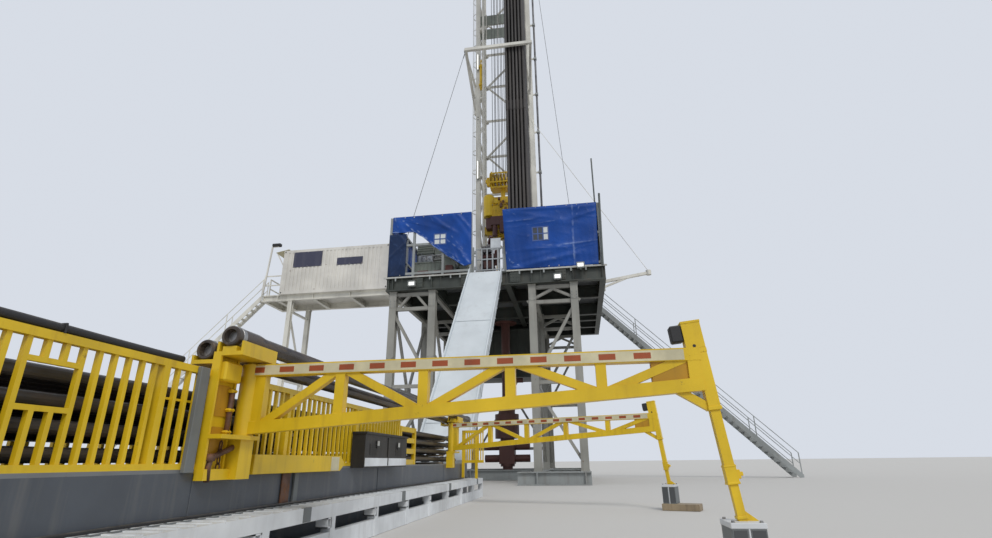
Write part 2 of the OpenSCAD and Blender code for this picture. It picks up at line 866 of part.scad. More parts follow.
// Beams that carry the house beside the floor, with its end landing
module house_platform() {
    z = house_z - platform_h;
    x0 = house_left - 500;
    inner_y = house_front + 55;
    plate_w = house_w - 110;
    plate = 12;
    color("lightgray") {
        for (y = beam_ys) {
            beam_x(x0, floor_left + 150, y, z, platform_h, 90);
            translate([floor_left + 80, y - 45, floor_z]) cube([70, 90, z - floor_z]);
        }
        for (x = [x0 + 45, house_left - 60, house_left + 900, house_left + 1900, house_right - 50])
            beam_y(inner_y, inner_y + plate_w, x, z, platform_h, 90);
        translate([x0, inner_y, house_z]) cube([490, plate_w, plate]);
        translate([house_right + 10, inner_y, house_z])
            cube([floor_left - house_right - 20, plate_w, plate]);
        translate([floor_left - 12, left_door_y + 4, house_z]) cube([162, door_gap - 8, plate]);
        for (y = [left_door_y + 4, left_door_y + door_gap - 16])
            translate([floor_left + 80, y, floor_z]) cube([70, 12, house_z - floor_z]);
        for (k = [1, 2])
            translate([floor_left + 150, left_door_y + 4, floor_z])
                cube([47 * k, door_gap - 8, (3 - k) * (house_z - floor_z) / 3]);
    }
    color("lightgray") {
        for (y = [inner_y, inner_y + 265, house_back - 80])
            translate([x0, y, house_z + plate]) cube([rail_s, rail_s, 540]);
        translate([house_left - 40, house_back - 80, house_z + plate]) cube([rail_s, rail_s, 540]);
        for (h = [house_z + 270, house_z + 527]) {
            translate([x0, inner_y + 265, h]) cube([rail_s, house_back - 55 - inner_y - 265, rail_s]);
            translate([x0, house_back - 80, h]) cube([485, rail_s, rail_s]);
            translate([x0, inner_y, h]) cube([485, rail_s, rail_s]);
        }
        translate([house_left - 40, inner_y, house_z + plate]) cube([rail_s, rail_s, 540]);
    }
}

// The house is a ribbed steel box with a doorway in its left end
module house_shell() {
    z = house_z;
    t = house_t;
    pitch = 105;
    n = floor((house_l - 260) / pitch);
    color("whitesmoke")
        difference() {
            union() {
                difference() {
                    translate([house_left, house_front, z]) cube([house_l, house_w, house_h]);
                    for (k = [0:n - 1]) {
                        x = house_left + 130 + k * pitch;
                        translate([x, house_front - 1, z + 80]) cube([pitch * 0.5, 13, house_h - 150]);
                        translate([x, house_back - 12, z + 80]) cube([pitch * 0.5, 13, house_h - 150]);
                    }
                }
            }
            translate([house_left + t, house_front + t, z + t])
                cube([house_l - 2 * t, house_w - 2 * t, house_h - 2 * t]);
            translate([house_left - 1, house_front + 380, z + t])
                cube([t + 2, 400, 1000]);
            translate([house_right - t - 1, house_front + 300, z + 420])
                cube([t + 2, 550, 480]);
        }
}

module house_door() {
    color("lightslategray")
        translate([house_left + 5, house_front + 382, house_z + house_t])
            cube([20, 396, 998]);
}

// Leg that props the far end of the house platform
module house_leg() {
    x = house_left + 300;
    y = house_front + 100;
    z = house_z - platform_h;
    color("lightgray") {
        for (k = [house_front + 100, house_back - 100]) {
            column(x, k, 20, z - 20, 110);
            translate([x - 70, k - 70, z - 20]) cube([140, 140, 20]);
            translate([x - 150, k - 150, 0]) cube([300, 300, 20]);
        }
        low = z * 0.21;
        high = z * 0.53;
        for (h = [low, high, z - 300])
            translate([x - 25, y, h]) cube([50, house_w - 200, 50]);
        bar([x, y, low + 60], [x, house_back - 100, high - 40], 40);
        bar([x, house_back - 100, high + 80], [x, y, z - 330], 40);
    }
}

// A flight of stairs that climbs by h from the origin, away along +X
module flight(h, w) {
    n = floor(h / step_rise);
    rise = h / n;
    run = rise * 1.0;
    l = n * run;
    for (y = [0, w - 12]) {
        translate([0, y, 0])
            rotate([90, 0, 0])
                mirror([0, 0, 1])
                    linear_extrude(12)
                        polygon([[0, 0], [90, 0], [l, h - 90], [l, h], [l - 60, h], [0, 60]]);
        for (k = [0:5])
            translate([20 + k * (l - 60) / 5, y, 20 + k * (h - 60) / 5]) cube([20, 12, 500]);
        for (d = [250, 480])
            translate([0, y, 0])
                rotate([90, 0, 0])
                    mirror([0, 0, 1])
                        linear_extrude(12)
                            polygon([[20, d + 20], [l - 20, d + h - 20], [l - 20, d + h], [20, d + 40]]);
    }
    for (k = [1:n - 1])
        translate([k * run - run * 0.3, 6, k * rise - 8]) cube([run * 1.2, w - 12, 8]);
}

module house_stair() {
    color("lightgray")
        translate([house_left - 500 - house_z, house_front + 70, 0])
            flight(house_z, 240);
}

module floor_stair() {
    w = 450;
    color("gray")
        translate([floor_right + floor_z, 150, 0])
            mirror([1, 0, 0])
                flight(floor_z, w);
}

module corner_pole() {
    x = floor_right - 95;
    y = floor_front + 120;
    color("gray") {
        translate([x - 30, y - 30, floor_z]) cube([60, 60, 15]);
        translate([x, y, floor_z + 15]) cylinder(h = wall_h * 1.8, r = 16, $fn = 24);
    }
}

// Outrigger arm on the right side with its stay up to the mast
module outrigger() {
    x = floor_right;
    y = -2250;
    z = frame_bottom + 200;
    tip = [x + 950, y, z + 140];
    foot = [mast_w / 2 + 21, mast_front_y + 63, floor_z + bay_h * 4.42];
    color("lightgray") {
        translate([x, y - 60, frame_bottom]) cube([20, 120, girder_h]);
        bar([x + 10, y, z], tip, 60);
        bar([x + 10, y, z - 120], [x + 500, y, z + 60], 40);
        translate([tip[0], tip[1], tip[2] - 45]) cylinder(h = 100, r = 55, $fn = 48);
        rod([tip[0], tip[1], tip[2] + 40], foot, 12);
        translate([mast_w / 2, mast_front_y + 30, foot[2] - 40]) cube([50, 70, 80]);
    }
}

// Stay from the belly frame's left tip down to the floor
module stay_left() {
    a = [-belly_x, belly_y + 22, belly_z - 20];
    b = [floor_left + 130, floor_front + 150, floor_z + 40];
    color("gray") {
        rod(a, b, 12);
        translate([a[0] - 25, a[1] - 20, belly_z - 40]) cube([50, 40, 40]);
        translate([b[0] - 30, b[1] - 30, floor_z]) cube([60, 60, 50]);
    }
}

// Stay from the racking board's right end down to the floor
module stay_right() {
    a = [board_x - 35, board_y + 35, board_z - 20];
    b = [floor_right - 350, floor_back - 500, floor_z + 40];
    color("gray") {
        rod(a, b, 12);
        translate([a[0] - 30, a[1] - 30, board_z - 40]) cube([60, 60, 40]);
        translate([b[0] - 30, b[1] - 30, floor_z]) cube([60, 60, 50]);
    }
}

// Catwalk base: two deep side channels with cross members
module catwalk_skid() {
    h = catwalk_z - 12;
    color("slategray") {
        for (x = [-deck_x, deck_x - 14])
            translate([x, catwalk_start, 0]) cube([14, catwalk_l, h]);
        for (z = [0, h - 16], x = [-deck_x, deck_x - 80])
            translate([x, catwalk_start, z]) cube([80, catwalk_l, 16]);
        for (k = [0:8])
            translate([-deck_x, catwalk_start + k * (catwalk_l - 60) / 8, 0])
                cube([catwalk_w, 60, h]);
    }
}

// Deck with its pipe trough
module catwalk_deck() {
    color("slategray")
        rotate([90, 0, 0])
            translate([0, 0, -catwalk_end])
                linear_extrude(catwalk_l)
                    polygon([
                        [-deck_x, catwalk_z - 12], [deck_x, catwalk_z - 12], [deck_x, catwalk_z],
                        [90, catwalk_z], [0, catwalk_z - 10], [-90, catwalk_z], [-deck_x, catwalk_z]
                    ]);
}

// A guard of close upright bars between two rails
module guard(x) {
    s = 15;
    n = floor((guard_l - s) / bar_pitch);
    z0 = catwalk_z;
    translate([x - 25, catwalk_start, z0]) cube([25, guard_l, 20]);
    translate([x - 25, catwalk_start, z0 + guard_h - 25]) cube([25, guard_l, 25]);
    for (k = [0:n])
        if (k > window_bar && k < window_bar + 3) {
            translate([x - 20, catwalk_start + k * bar_pitch, z0]) cube([s, s, window_z]);
            translate([x - 20, catwalk_start + k * bar_pitch, z0 + window_z + window_h])
                cube([s, s, guard_h - window_z - window_h]);
        } else
            translate([x - 20, catwalk_start + k * bar_pitch, z0]) cube([s, s, guard_h]);
    for (h = [window_z - s, window_z + window_h])
        translate([x - 18, catwalk_start + window_bar * bar_pitch, z0 + h])
            cube([s - 2, 3 * bar_pitch + s, s]);
    for (k = [0:6])
        translate([x - 30, catwalk_start + k * (guard_l - 30) / 6, z0]) cube([30, 30, guard_h]);
}

module guard_right() {
    color("gold") guard(deck_x);
}

module guard_left() {
    color("gold") mirror([1, 0, 0]) guard(deck_x);
}

// Walkway beside the catwalk on short square tubes
module side_walkway() {
    n = 13;
    color("gainsboro") {
        translate([deck_x, catwalk_start, walk_z - 20]) cube([walk_w, catwalk_l, 20]);
        translate([deck_x + walk_w - 14, catwalk_start, walk_z - 60]) cube([14, catwalk_l, 60]);
        translate([deck_x + walk_w - 42, catwalk_start + 5, 0]) cube([36, catwalk_l - 10, 90]);
        for (k = [0:n])
            translate([deck_x + walk_w - 50, catwalk_start + k * (catwalk_l - 50) / n, 0])
                cube([50, 50, walk_z - 20]);
    }
}

// Black power cabinet that hangs outside the guard, with its two latches
module power_cabinet() {
    l = 840;
    h = 212;
    color("black")
        translate([deck_x, cabinet_y, catwalk_z - 12]) {
            cube([88, l, h]);
            translate([0, -6, h - 10]) cube([98, l + 12, 14]);
            for (y = [l * 0.25, l * 0.75])
                translate([88, y - 20, h * 0.55]) cube([8, 40, 50]);
            translate([88, l * 0.5 - 6, 10]) cube([6, 12, h - 30]);
        }
}

// A runged frame past the end of the guard, and a slatted panel across the walkway
module end_guards() {
    s = 30;
    y0 = catwalk_start + guard_l + 20;
    l = 420;
    h = guard_h * 0.8;
    panel_y = far_y + 700;
    panel_x = deck_x + 8;
    panel_w = 262;
    panel_z = catwalk_z + 5;
    color("gold") {
        for (y = [y0, y0 + l - s])
            translate([deck_x - s, y, catwalk_z]) cube([s, s, h]);
        for (k = [0:3])
            translate([deck_x - s + 4, y0 + s / 2, catwalk_z + k * (h - 40) / 3]) cube([s - 8, l - s, 40]);
        for (x = [panel_x, panel_x + 160])
            translate([x, panel_y, walk_z]) cube([s, s, panel_z - walk_z + guard_h - 10]);
        for (z = [panel_z, panel_z + guard_h - s])
            translate([panel_x, panel_y + 2, z]) cube([panel_w, s - 4, s]);
        for (k = [1:9])
            if (k != 6) translate([panel_x + 2 + k * (panel_w - 16) / 9, panel_y + 8, panel_z])
                cube([12, 14, guard_h - 10]);
    }
}

// Dark ribbed tank that hangs under the back of the floor between the towers
module under_tank() {
    x0 = left_inner_x + column_s + 40;
    w = right_inner_x - column_s - 40 - x0;
    y = 620;
    l = 900;
    h = (frame_bottom - base_h) * 0.36;
    top = frame_bottom - 60;
    color("dimgray") {
        translate([x0, y, top - h]) cube([w, l, h]);
        for (k = [0:7])
            translate([x0 + 30 + k * (w - 110) / 7, y - 25, top - h + 30]) cube([50, 26, h - 60]);
        for (z = [top - h, top - 50])
            translate([x0, y - 35, z]) cube([w, 36, 50]);
        for (k = [0:3])
            translate([x0 + 90 + k * (w - 240) / 3, y + 100, top - 1]) cube([60, l - 200, 61]);
    }
}

// Hinge post on the catwalk side: a channel plate, two lugs, the pin and a pipe cradle.
// swing is the side that the arm folds to.
module hinge_post(y, swing) {
    z0 = catwalk_z - 40;
    lug = 16;
    low = arm_z - arm_root_h;
    top = cradle_top;
    far = 200;
    near = 45;
    y0 = swing < 0 ? -far : -near;
    w = far + near;
    plate_y = swing < 0 ? -far : near + 10;
    plate_w = far - near - 10;
    color("gold")
        translate([0, y, 0]) {
            translate([deck_x, plate_y, z0]) cube([12, plate_w, top - z0 - cradle_t]);
            for (e = [plate_y, plate_y + plate_w - 12])
                translate([deck_x, e, z0])
                    cube([e == (swing < 0 ? -far : far - 12) ? 34 : 20, 12, top - z0 - cradle_t]);
            translate([deck_x, y0, z0]) cube([40, w, 40]);
            translate([deck_x, y0, top - cradle_t]) cube([125, w, cradle_t]);
            translate([deck_x + 35, y0, top]) cube([60, w, saddle_h]);
            translate([deck_x - 95, plate_y, shelf_top - cradle_t]) cube([97, plate_w, cradle_t]);
            translate([deck_x - 95, plate_y, shelf_top]) cube([10, plate_w, saddle_h]);
            translate([deck_x, y0, low - lug]) cube([90, w, lug]);
            translate([deck_x, -near, z0]) cube([70, near * 2, low - lug - z0]);
            translate([pin_x, 0, low - lug]) cylinder(h = top - low, r = pin_r, $fn = 48);
            for (x = [deck_x + 10, deck_x + 115])
                translate([x, y0, top]) cube([10, w, saddle_h * 2]);
        }
}

module hinge_near() {
    hinge_post(near_y, -1);
}

module hinge_far() {
    hinge_post(far_y, 1);
}

// A tapered truss arm of reach l with a sleeve on the hinge pin and a socket for its leg
module arm(l) {
    s = tube_s;
    z0 = arm_z - arm_root_h;
    top = arm_z - s / 2;
    root = z0 + s / 2 + 6;
    tip = arm_z - arm_tip_h + s / 2;
    n = 5;
    x0 = 60;
    span = l - x0;
    sleeve = socket + 2 * sleeve_wall;
    function low(t) = root + (tip - root) * t;
    color("gold")
        difference() {
            union() {
                translate([0, 0, z0]) cylinder(h = arm_root_h, r = 40, $fn = 48);
                translate([20, -s / 2 + 5, root]) cube([60, s - 10, top - root]);
                bar([25, 0, top], [l + 20, 0, top], s);
                bar([25, 0, root], [l + 20, 0, tip], s);
                for (k = [1:n - 1]) {
                    xk = x0 + span * k / n;
                    bar([xk, 0, low(k / n)], [xk, 0, top], s - 8);
                }
                for (k = [0:n - 1]) {
                    ta = k / n;
                    tb = (k + 1) / n;
                    za = k % 2 == 0 ? low(ta) : top;
                    zb = k % 2 == 0 ? top : low(tb);
                    bar([x0 + span * ta, 0, za], [x0 + span * tb, 0, zb], s - 15);
                }
                translate([l - 120, -11, tip]) cube([130, 22, top - tip]);
                translate([l - 30, -s / 2 + 1, tip - 8]) cube([44, s - 2, top - tip + 16]);
                translate([l + sleeve / 2, 0, arm_z])
                    rotate([0, -leg_lean, 0])
                        union() {
                            translate([-sleeve / 2, -sleeve / 2, -sleeve_below])
                                cube([sleeve, sleeve, sleeve_below + sleeve_above]);
                            translate([sleeve / 2 - cap_w, -sleeve / 2 - 1, 0])
                                cube([cap_w, sleeve + 2, sleeve_above]);
                        }
                bar([l - 95, 0, tip - 8], [l + 30, 0, tip - 86], s - 20);
            }
            translate([0, 0, z0 - 1]) cylinder(h = arm_root_h + 2, r = pin_r + 0.08, $fn = 48);
            translate([l + sleeve / 2, 0, arm_z])
                rotate([0, -leg_lean, 0])
                    translate([-socket / 2, -socket / 2, -sleeve_below - 20])
                        cube([socket, socket, sleeve_below + sleeve_above + 30]);
        }
}

module arm_near() {
    translate([pin_x, near_y, 0]) arm(arm_l);
}

module arm_far() {
    translate([pin_x, far_y, 0]) rotate([0, 0, -far_turn]) arm(far_arm_l);
}

// A leaning leg that slides in the arm's socket, with its foot of two boxes on a sleeper
module arm_leg(l) {
    x = l + socket / 2 + sleeve_wall;
    foot_x = x + (arm_z - foot_h) * tan(leg_lean);
    box_w = 50;
    box_gap = 4;
    box_d = 144;
    thin = leg_tube - 6;
    clamp = leg_tube + 5;
    step = clamp_z - arm_z;
    color("gold")
        difference() {
            translate([x, 0, arm_z])
                rotate([0, -leg_lean, 0]) {
                    translate([-leg_tube / 2, -leg_tube / 2, step])
                        cube([leg_tube, leg_tube, leg_above - step]);
                    translate([-thin / 2, -thin / 2, foot_h - arm_z - 40])
                        cube([thin, thin, step - foot_h + arm_z + 50]);
                    translate([-clamp / 2, -clamp / 2, step]) cube([clamp, clamp, clamp_h]);
                }
            translate([foot_x - 100, -100, foot_h - 60]) cube([200, 200, 60]);
        }
    color("darkgray") {
        for (side = [-1, 1])
            translate([foot_x + (side - 1) * box_w / 2 + side * box_gap, -box_d / 2, sleeper_h])
                cube([box_w, box_d, foot_h - sleeper_h - 10]);
        translate([foot_x - box_w - 6, -box_d / 2 - 2, foot_h - 10]) cube([box_w * 2 + 12, box_d + 4, 10]);
    }
    color("tan")
        translate([foot_x - 66, -80, 0]) cube([300, 160, sleeper_h]);
}

module leg_near() {
    translate([pin_x, near_y, 0]) arm_leg(arm_l);
}

module leg_far() {
    translate([pin_x, far_y, 0]) rotate([0, 0, -far_turn]) arm_leg(far_arm_l);
}

// Two loose pipes, one on the cradles' saddles and one on their lower shelves
module rack_pipes() {
    l = 4770;
    color("saddlebrown")
        for (k = [0, 1])
            translate([deck_x - 42 + k * 107, near_y - 200 - k * 8,
                (k == 0 ? shelf_top : cradle_top + saddle_h) + pipe_d / 2])
                rotate([-90, 0, 0])
                    difference() {
                        cylinder(h = l, d = pipe_d, $fn = 32);
                        translate([0, 0, -1]) cylinder(h = l + 2, d = pipe_d - 30, $fn = 32);
                    }
}

base_left();
base_right();
base_spreader();
tower_left();
tower_right();
tower_cross();
floor_frame();
floor_deck();
rotary_table();
bop_stack();
gate_posts();
windwall_frame();
tarp_front_left();
tarp_front_right();
tarp_side_left();
tarp_side_right();
tarp_back();
vdoor_gate();
vdoor_ramp();
mast_side_left();
mast_side_right();
mast_back();
crown_block();
racking_board();
belly_frame();
cable_tray();
racked_pipe();
drawworks();
guide_rails();
top_drive();
travelling_block();
quill();
elevator_links();
drill_lines();
fast_line();
house_platform();
house_shell();
house_door();
house_leg();
house_stair();
floor_stair();
corner_pole();
outrigger();
stay_left();
stay_right();
catwalk_skid();
catwalk_deck();
guard_right();
guard_left();
side_walkway();
power_cabinet();
hinge_near();
hinge_far();
arm_near();
arm_far();
leg_near();
leg_far();
rack_pipes();
end_guards();
under_tank();
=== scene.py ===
"""Land drilling rig: dresses the packed frame with finishes, cloth and fine fittings.

Every size is in metres in the rig's own frame: the well centre at ground level is
the origin, +Z is up, the V-door and the catwalk lie towards -Y.
"""

import json
import logging
import math
from dataclasses import dataclass, field
from enum import Enum
from typing import Dict, List, Optional, Sequence, Tuple

import bpy
import numpy as np
from mathutils import Matrix, Vector


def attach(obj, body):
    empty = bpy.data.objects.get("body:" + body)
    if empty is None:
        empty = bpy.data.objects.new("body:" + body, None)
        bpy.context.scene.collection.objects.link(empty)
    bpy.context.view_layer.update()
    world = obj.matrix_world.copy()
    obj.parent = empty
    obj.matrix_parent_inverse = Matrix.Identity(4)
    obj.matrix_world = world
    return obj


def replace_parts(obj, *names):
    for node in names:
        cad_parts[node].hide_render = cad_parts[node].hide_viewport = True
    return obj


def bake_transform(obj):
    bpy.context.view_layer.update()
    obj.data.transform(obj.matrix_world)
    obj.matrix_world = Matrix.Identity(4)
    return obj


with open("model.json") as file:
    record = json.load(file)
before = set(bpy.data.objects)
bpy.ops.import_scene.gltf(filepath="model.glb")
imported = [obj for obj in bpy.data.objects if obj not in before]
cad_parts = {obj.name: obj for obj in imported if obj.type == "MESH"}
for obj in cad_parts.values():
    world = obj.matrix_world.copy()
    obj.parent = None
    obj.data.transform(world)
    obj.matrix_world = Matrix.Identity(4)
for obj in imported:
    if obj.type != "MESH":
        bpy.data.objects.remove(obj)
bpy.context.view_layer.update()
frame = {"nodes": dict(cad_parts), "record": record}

LOG = logging.getLogger("rig")
Colour = Tuple[float, float, float]
Point = Tuple[float, float, float]
Pair = Tuple[float, float]
Row = Tuple[float, ...]
Array = np.ndarray
Socket = bpy.types.NodeSocket
Piece = bpy.types.Object

FLOOR_TOP = 4.125
DUST_COLOUR: Colour = (0.4, 0.36, 0.31)
THREAD_TURNS = 1570.0
BEVEL_ANGLE = math.radians(40)


class Body(Enum):
    """The packed bodies that pieces ride on."""

    RIG = "rig_frame"
    HOIST = "hoist_carriage"
    NEAR_ARM = "near_arm"
    NEAR_LEG = "near_leg"
    FAR_ARM = "far_arm"
    FAR_LEG = "far_leg"


class Axis(Enum):
    """A main direction, with the two that complete its right-handed frame."""

    X = ((1, 0, 0), (0, 1, 0), (0, 0, 1))
    Y = ((0, 1, 0), (0, 0, 1), (1, 0, 0))
    Z = ((0, 0, 1), (1, 0, 0), (0, 1, 0))


# Surfaces as whole arrays


@dataclass
class Surface:
    """Points and faces of one surface, kept as whole arrays."""

    verts: Array
    quads: Array
    tris: Array = field(default_factory=lambda: np.zeros((0, 3), int))
    uv: Optional[Array] = None
    fold: Optional[Array] = None


def join(*parts: Surface) -> Surface:
    """Puts several surfaces into one.

    Args:
        parts: The surfaces, which keep their own points.

    Returns:
        One surface whose face indices are shifted by the points before them.
    """
    starts = np.cumsum([0] + [len(p.verts) for p in parts[:-1]])
    return Surface(
        np.vstack([p.verts for p in parts]), np.vstack([p.quads + s for p, s in zip(parts, starts)]),
        np.vstack([p.tris + s for p, s in zip(parts, starts)]))


def coords(x: object, y: object, z: object) -> Array:
    """Returns points whose three coordinates are single values or equally long lists."""
    return np.stack(np.broadcast_arrays(x, y, z), axis=-1)


def mesh_grid(*ways: Sequence[float]) -> Array:
    """Returns every point whose coordinates are taken from the three lists."""
    return np.stack(np.meshgrid(*ways, indexing="ij"), axis=-1).reshape(-1, 3)


def rows3(points: object) -> Array:
    """Returns points as an array of rows of three."""
    return np.asarray(points, float).reshape(-1, 3)


def unit(vectors: Array) -> Array:
    """Returns every row v of the array as v / |v|."""
    return vectors / np.linalg.norm(vectors, axis=-1, keepdims=True)


def repeated(verts: Array, quads: Array, tris: Optional[Array] = None) -> Surface:
    """The same faces on each of N sets of points.

    Formula: a face of copy n is the first copy's face with n times V added to its
    indices, where V is the number of points of one copy.

    Args:
        verts: Array of N copies, V points and 3 coordinates.
        quads: One copy's four-sided faces.
        tris: One copy's triangles, or None.

    Returns:
        N copies in one surface.
    """
    shift = np.arange(len(verts))[:, None, None] * verts.shape[1]
    tris = np.zeros((0, 3), int) if tris is None else tris
    return Surface(
        verts.reshape(-1, 3), (quads[None] + shift).reshape(-1, 4), (tris[None] + shift).reshape(-1, 3))


def grid(points: Array, round_u: bool = False) -> Surface:
    """Quads over a grid of points P[i, j].

    Formula: face (i, j) joins P[i, j], P[i, j+1], P[i+1, j+1] and P[i+1, j], where
    j runs back to 0 if that way is round.

    Args:
        points: Array of rows, columns and 3 coordinates.
        round_u: The columns close on themselves.

    Returns:
        The surface.
    """
    rows, cols = points.shape[:2]
    index = np.arange(rows * cols).reshape(rows, cols)
    if round_u:
        index = np.concatenate([index, index[:, :1]], axis=1)
    quads = np.stack([index[:-1, :-1], index[:-1, 1:], index[1:, 1:], index[1:, :-1]], axis=-1)
    return Surface(points.reshape(-1, 3), quads.reshape(-1, 4))


def end_fans(sides: int, count: int) -> Array:
    """Triangles that close a tube at both ends.

    Formula: with the two end centres as points count and count + 1, the first fan
    is (count, j + 1, j) over the first ring and the last one is (count + 1, j, j + 1).

    Args:
        sides: Points of each ring.
        count: Points of the tube.

    Returns:
        The triangles.
    """
    step = np.arange(sides)
    after = (step + 1) % sides
    last = count - sides
    return np.vstack([coords(count, after, step), coords(count + 1, last + step, last + after)])


def bars(starts: object, ends: object, wide: float, deep: float) -> Surface:
    """Many straight bars of one rectangular section.

    Formula: with d the unit direction, s = d x z (or d x y for an upright bar) and
    l = s x d, the corners are start or end +- s wide/2 +- l deep/2.

    Args:
        starts: N first points.
        ends: N last points.
        wide: Size along s.
        deep: Size along l.

    Returns:
        N closed bars in one surface.
    """
    starts, ends = rows3(starts), rows3(ends)
    along = unit(ends - starts)
    ref = np.where(np.abs(along[:, 2:3]) > 0.99, [[0.0, 1.0, 0.0]], [[0.0, 0.0, 1.0]])
    side = unit(np.cross(along, ref))
    lift = np.cross(side, along)
    turns = np.array([[-1, -1], [1, -1], [1, 1], [-1, 1]]) / 2.0
    offset = turns[None, :, :1] * side[:, None] * wide + turns[None, :, 1:] * lift[:, None] * deep
    verts = np.concatenate([starts[:, None] + offset, ends[:, None] + offset], axis=1)
    return repeated(
        verts, np.array([[0, 1, 2, 3], [7, 6, 5, 4], [4, 5, 1, 0], [5, 6, 2, 1], [6, 7, 3, 2], [7, 4, 0, 3]])
    )


def blocks(lows: object, sizes: object) -> Surface:
    """Upright blocks from their lowest corners and sizes.

    Formula: corner k of block n is low[n] + size[n] * bits of k.

    Args:
        lows: N lowest corners.
        sizes: N sizes, or one for all.

    Returns:
        N closed blocks in one surface.
    """
    lows = rows3(lows)
    sizes = np.broadcast_to(np.asarray(sizes, float), lows.shape)
    bits = np.array([[0, 0, 0], [1, 0, 0], [1, 1, 0], [0, 1, 0], [0, 0, 1], [1, 0, 1], [1, 1, 1], [0, 1, 1]])
    quads = np.array([[3, 2, 1, 0], [4, 5, 6, 7], [0, 1, 5, 4], [1, 2, 6, 5], [2, 3, 7, 6], [3, 0, 4, 7]])
    return repeated(lows[:, None] + bits[None] * sizes[:, None], quads)


def boxes(*rows: Sequence[float]) -> Surface:
    """Returns upright blocks, each from a row of its lowest corner and its size."""
    table = np.array(rows, float)
    return blocks(table[:, :3], table[:, 3:])


def turned(profile: Sequence[Pair], centres: object, axis: Axis, sides: int = 24) -> Surface:
    """A profile turned about an axis, repeated at many centres.

    Formula: P(i, a) = centre + axis z_i + (u cos a + v sin a) r_i, closed at both
    ends by a fan round the axis.

    Args:
        profile: Pairs of radius and distance along the axis.
        centres: N centres.
        axis: The axis of turning.
        sides: Number of steps round it.

    Returns:
        N closed turned solids in one surface.
    """
    along, u, v = np.array(axis.value, float)
    ring = np.asarray(profile, float)
    angle = np.linspace(0, 2 * np.pi, sides, endpoint=False)
    spoke = np.cos(angle)[:, None] * u + np.sin(angle)[:, None] * v
    body = grid(ring[:, 1, None, None] * along + ring[:, 0, None, None] * spoke[None], round_u=True)
    verts = np.vstack([body.verts, ring[[0, -1], 1][:, None] * along])
    return repeated(rows3(centres)[:, None] + verts[None], body.quads, end_fans(sides, len(body.verts)))


def swept(path: object, section: Array) -> Surface:
    """A closed section carried along a path, capped at both ends.

    Formula: P(i, j) = path_i + side_i x_j + lift_i y_j, where side and lift are
    square to the path's tangent.

    Args:
        path: Points of the path.
        section: Pairs of the section, in order round it.

    Returns:
        The closed surface.
    """
    path = rows3(path)
    tangent = unit(np.gradient(path, axis=0))
    side = unit(np.cross(tangent, np.eye(3)[int(np.argmin(np.abs(tangent).mean(axis=0)))]))
    lift = np.cross(tangent, side)
    places = path[:, None] + side[:, None] * section[None, :, :1] + lift[:, None] * section[None, :, 1:]
    skin = grid(places, round_u=True)
    return Surface(
        np.vstack([skin.verts, path[[0, -1]]]), skin.quads, end_fans(len(section), len(skin.verts)))


def round_section(radius: float, sides: int = 12) -> Array:
    """Returns points (r cos a, r sin a) of a round section."""
    angle = np.linspace(0, 2 * np.pi, sides, endpoint=False)
    return np.stack([radius * np.cos(angle), radius * np.sin(angle)], axis=1)


def slab(outline: Sequence[Pair], origins: object, axis: Axis, thick: float) -> Surface:
    """A flat plate of a convex outline, repeated at many places.

    Formula: P = origin + u x + v y + axis (0 or thick), with fans over both faces.

    Args:
        outline: Pairs in the plane of the axis's other two directions, anticlockwise.
        origins: N origins.
        axis: The direction of the thickness.
        thick: The thickness.

    Returns:
        N closed plates in one surface.
    """
    along, u, v = np.array(axis.value, float)
    edge = np.asarray(outline, float)
    flat = edge[:, :1] * u + edge[:, 1:] * v
    m = len(edge)
    step = np.arange(m)
    after = (step + 1) % m
    k = np.arange(1, m - 1)
    verts = np.vstack([flat, flat + along * thick])
    walls = np.stack([step, after, after + m, step + m], axis=1)
    faces = np.vstack([coords(0, k + 1, k), coords(m, k + m, k + 1 + m)])
    return repeated(rows3(origins)[:, None] + verts[None], walls, faces)


def bolts(centres: object, axis: Axis, size: float, flip: bool = False) -> Surface:
    """Hexagonal bolt heads with their washers, at many places.

    Formula: a profile in shares of half the size, turned in six steps.

    Args:
        centres: N places on the face that they clamp.
        axis: The direction that they stand out along.
        size: Width across the corners.
        flip: They stand out the other way.

    Returns:
        The heads in one surface.
    """
    r = size / 2
    shares = [(1.25, 0.0), (1.25, 0.16), (1.0, 0.18), (1.0, 0.95), (0.8, 1.1)]
    profile = [(r * a, -r * b if flip else r * b) for a, b in shares]
    return turned(profile[::-1] if flip else profile, centres, axis, 6)


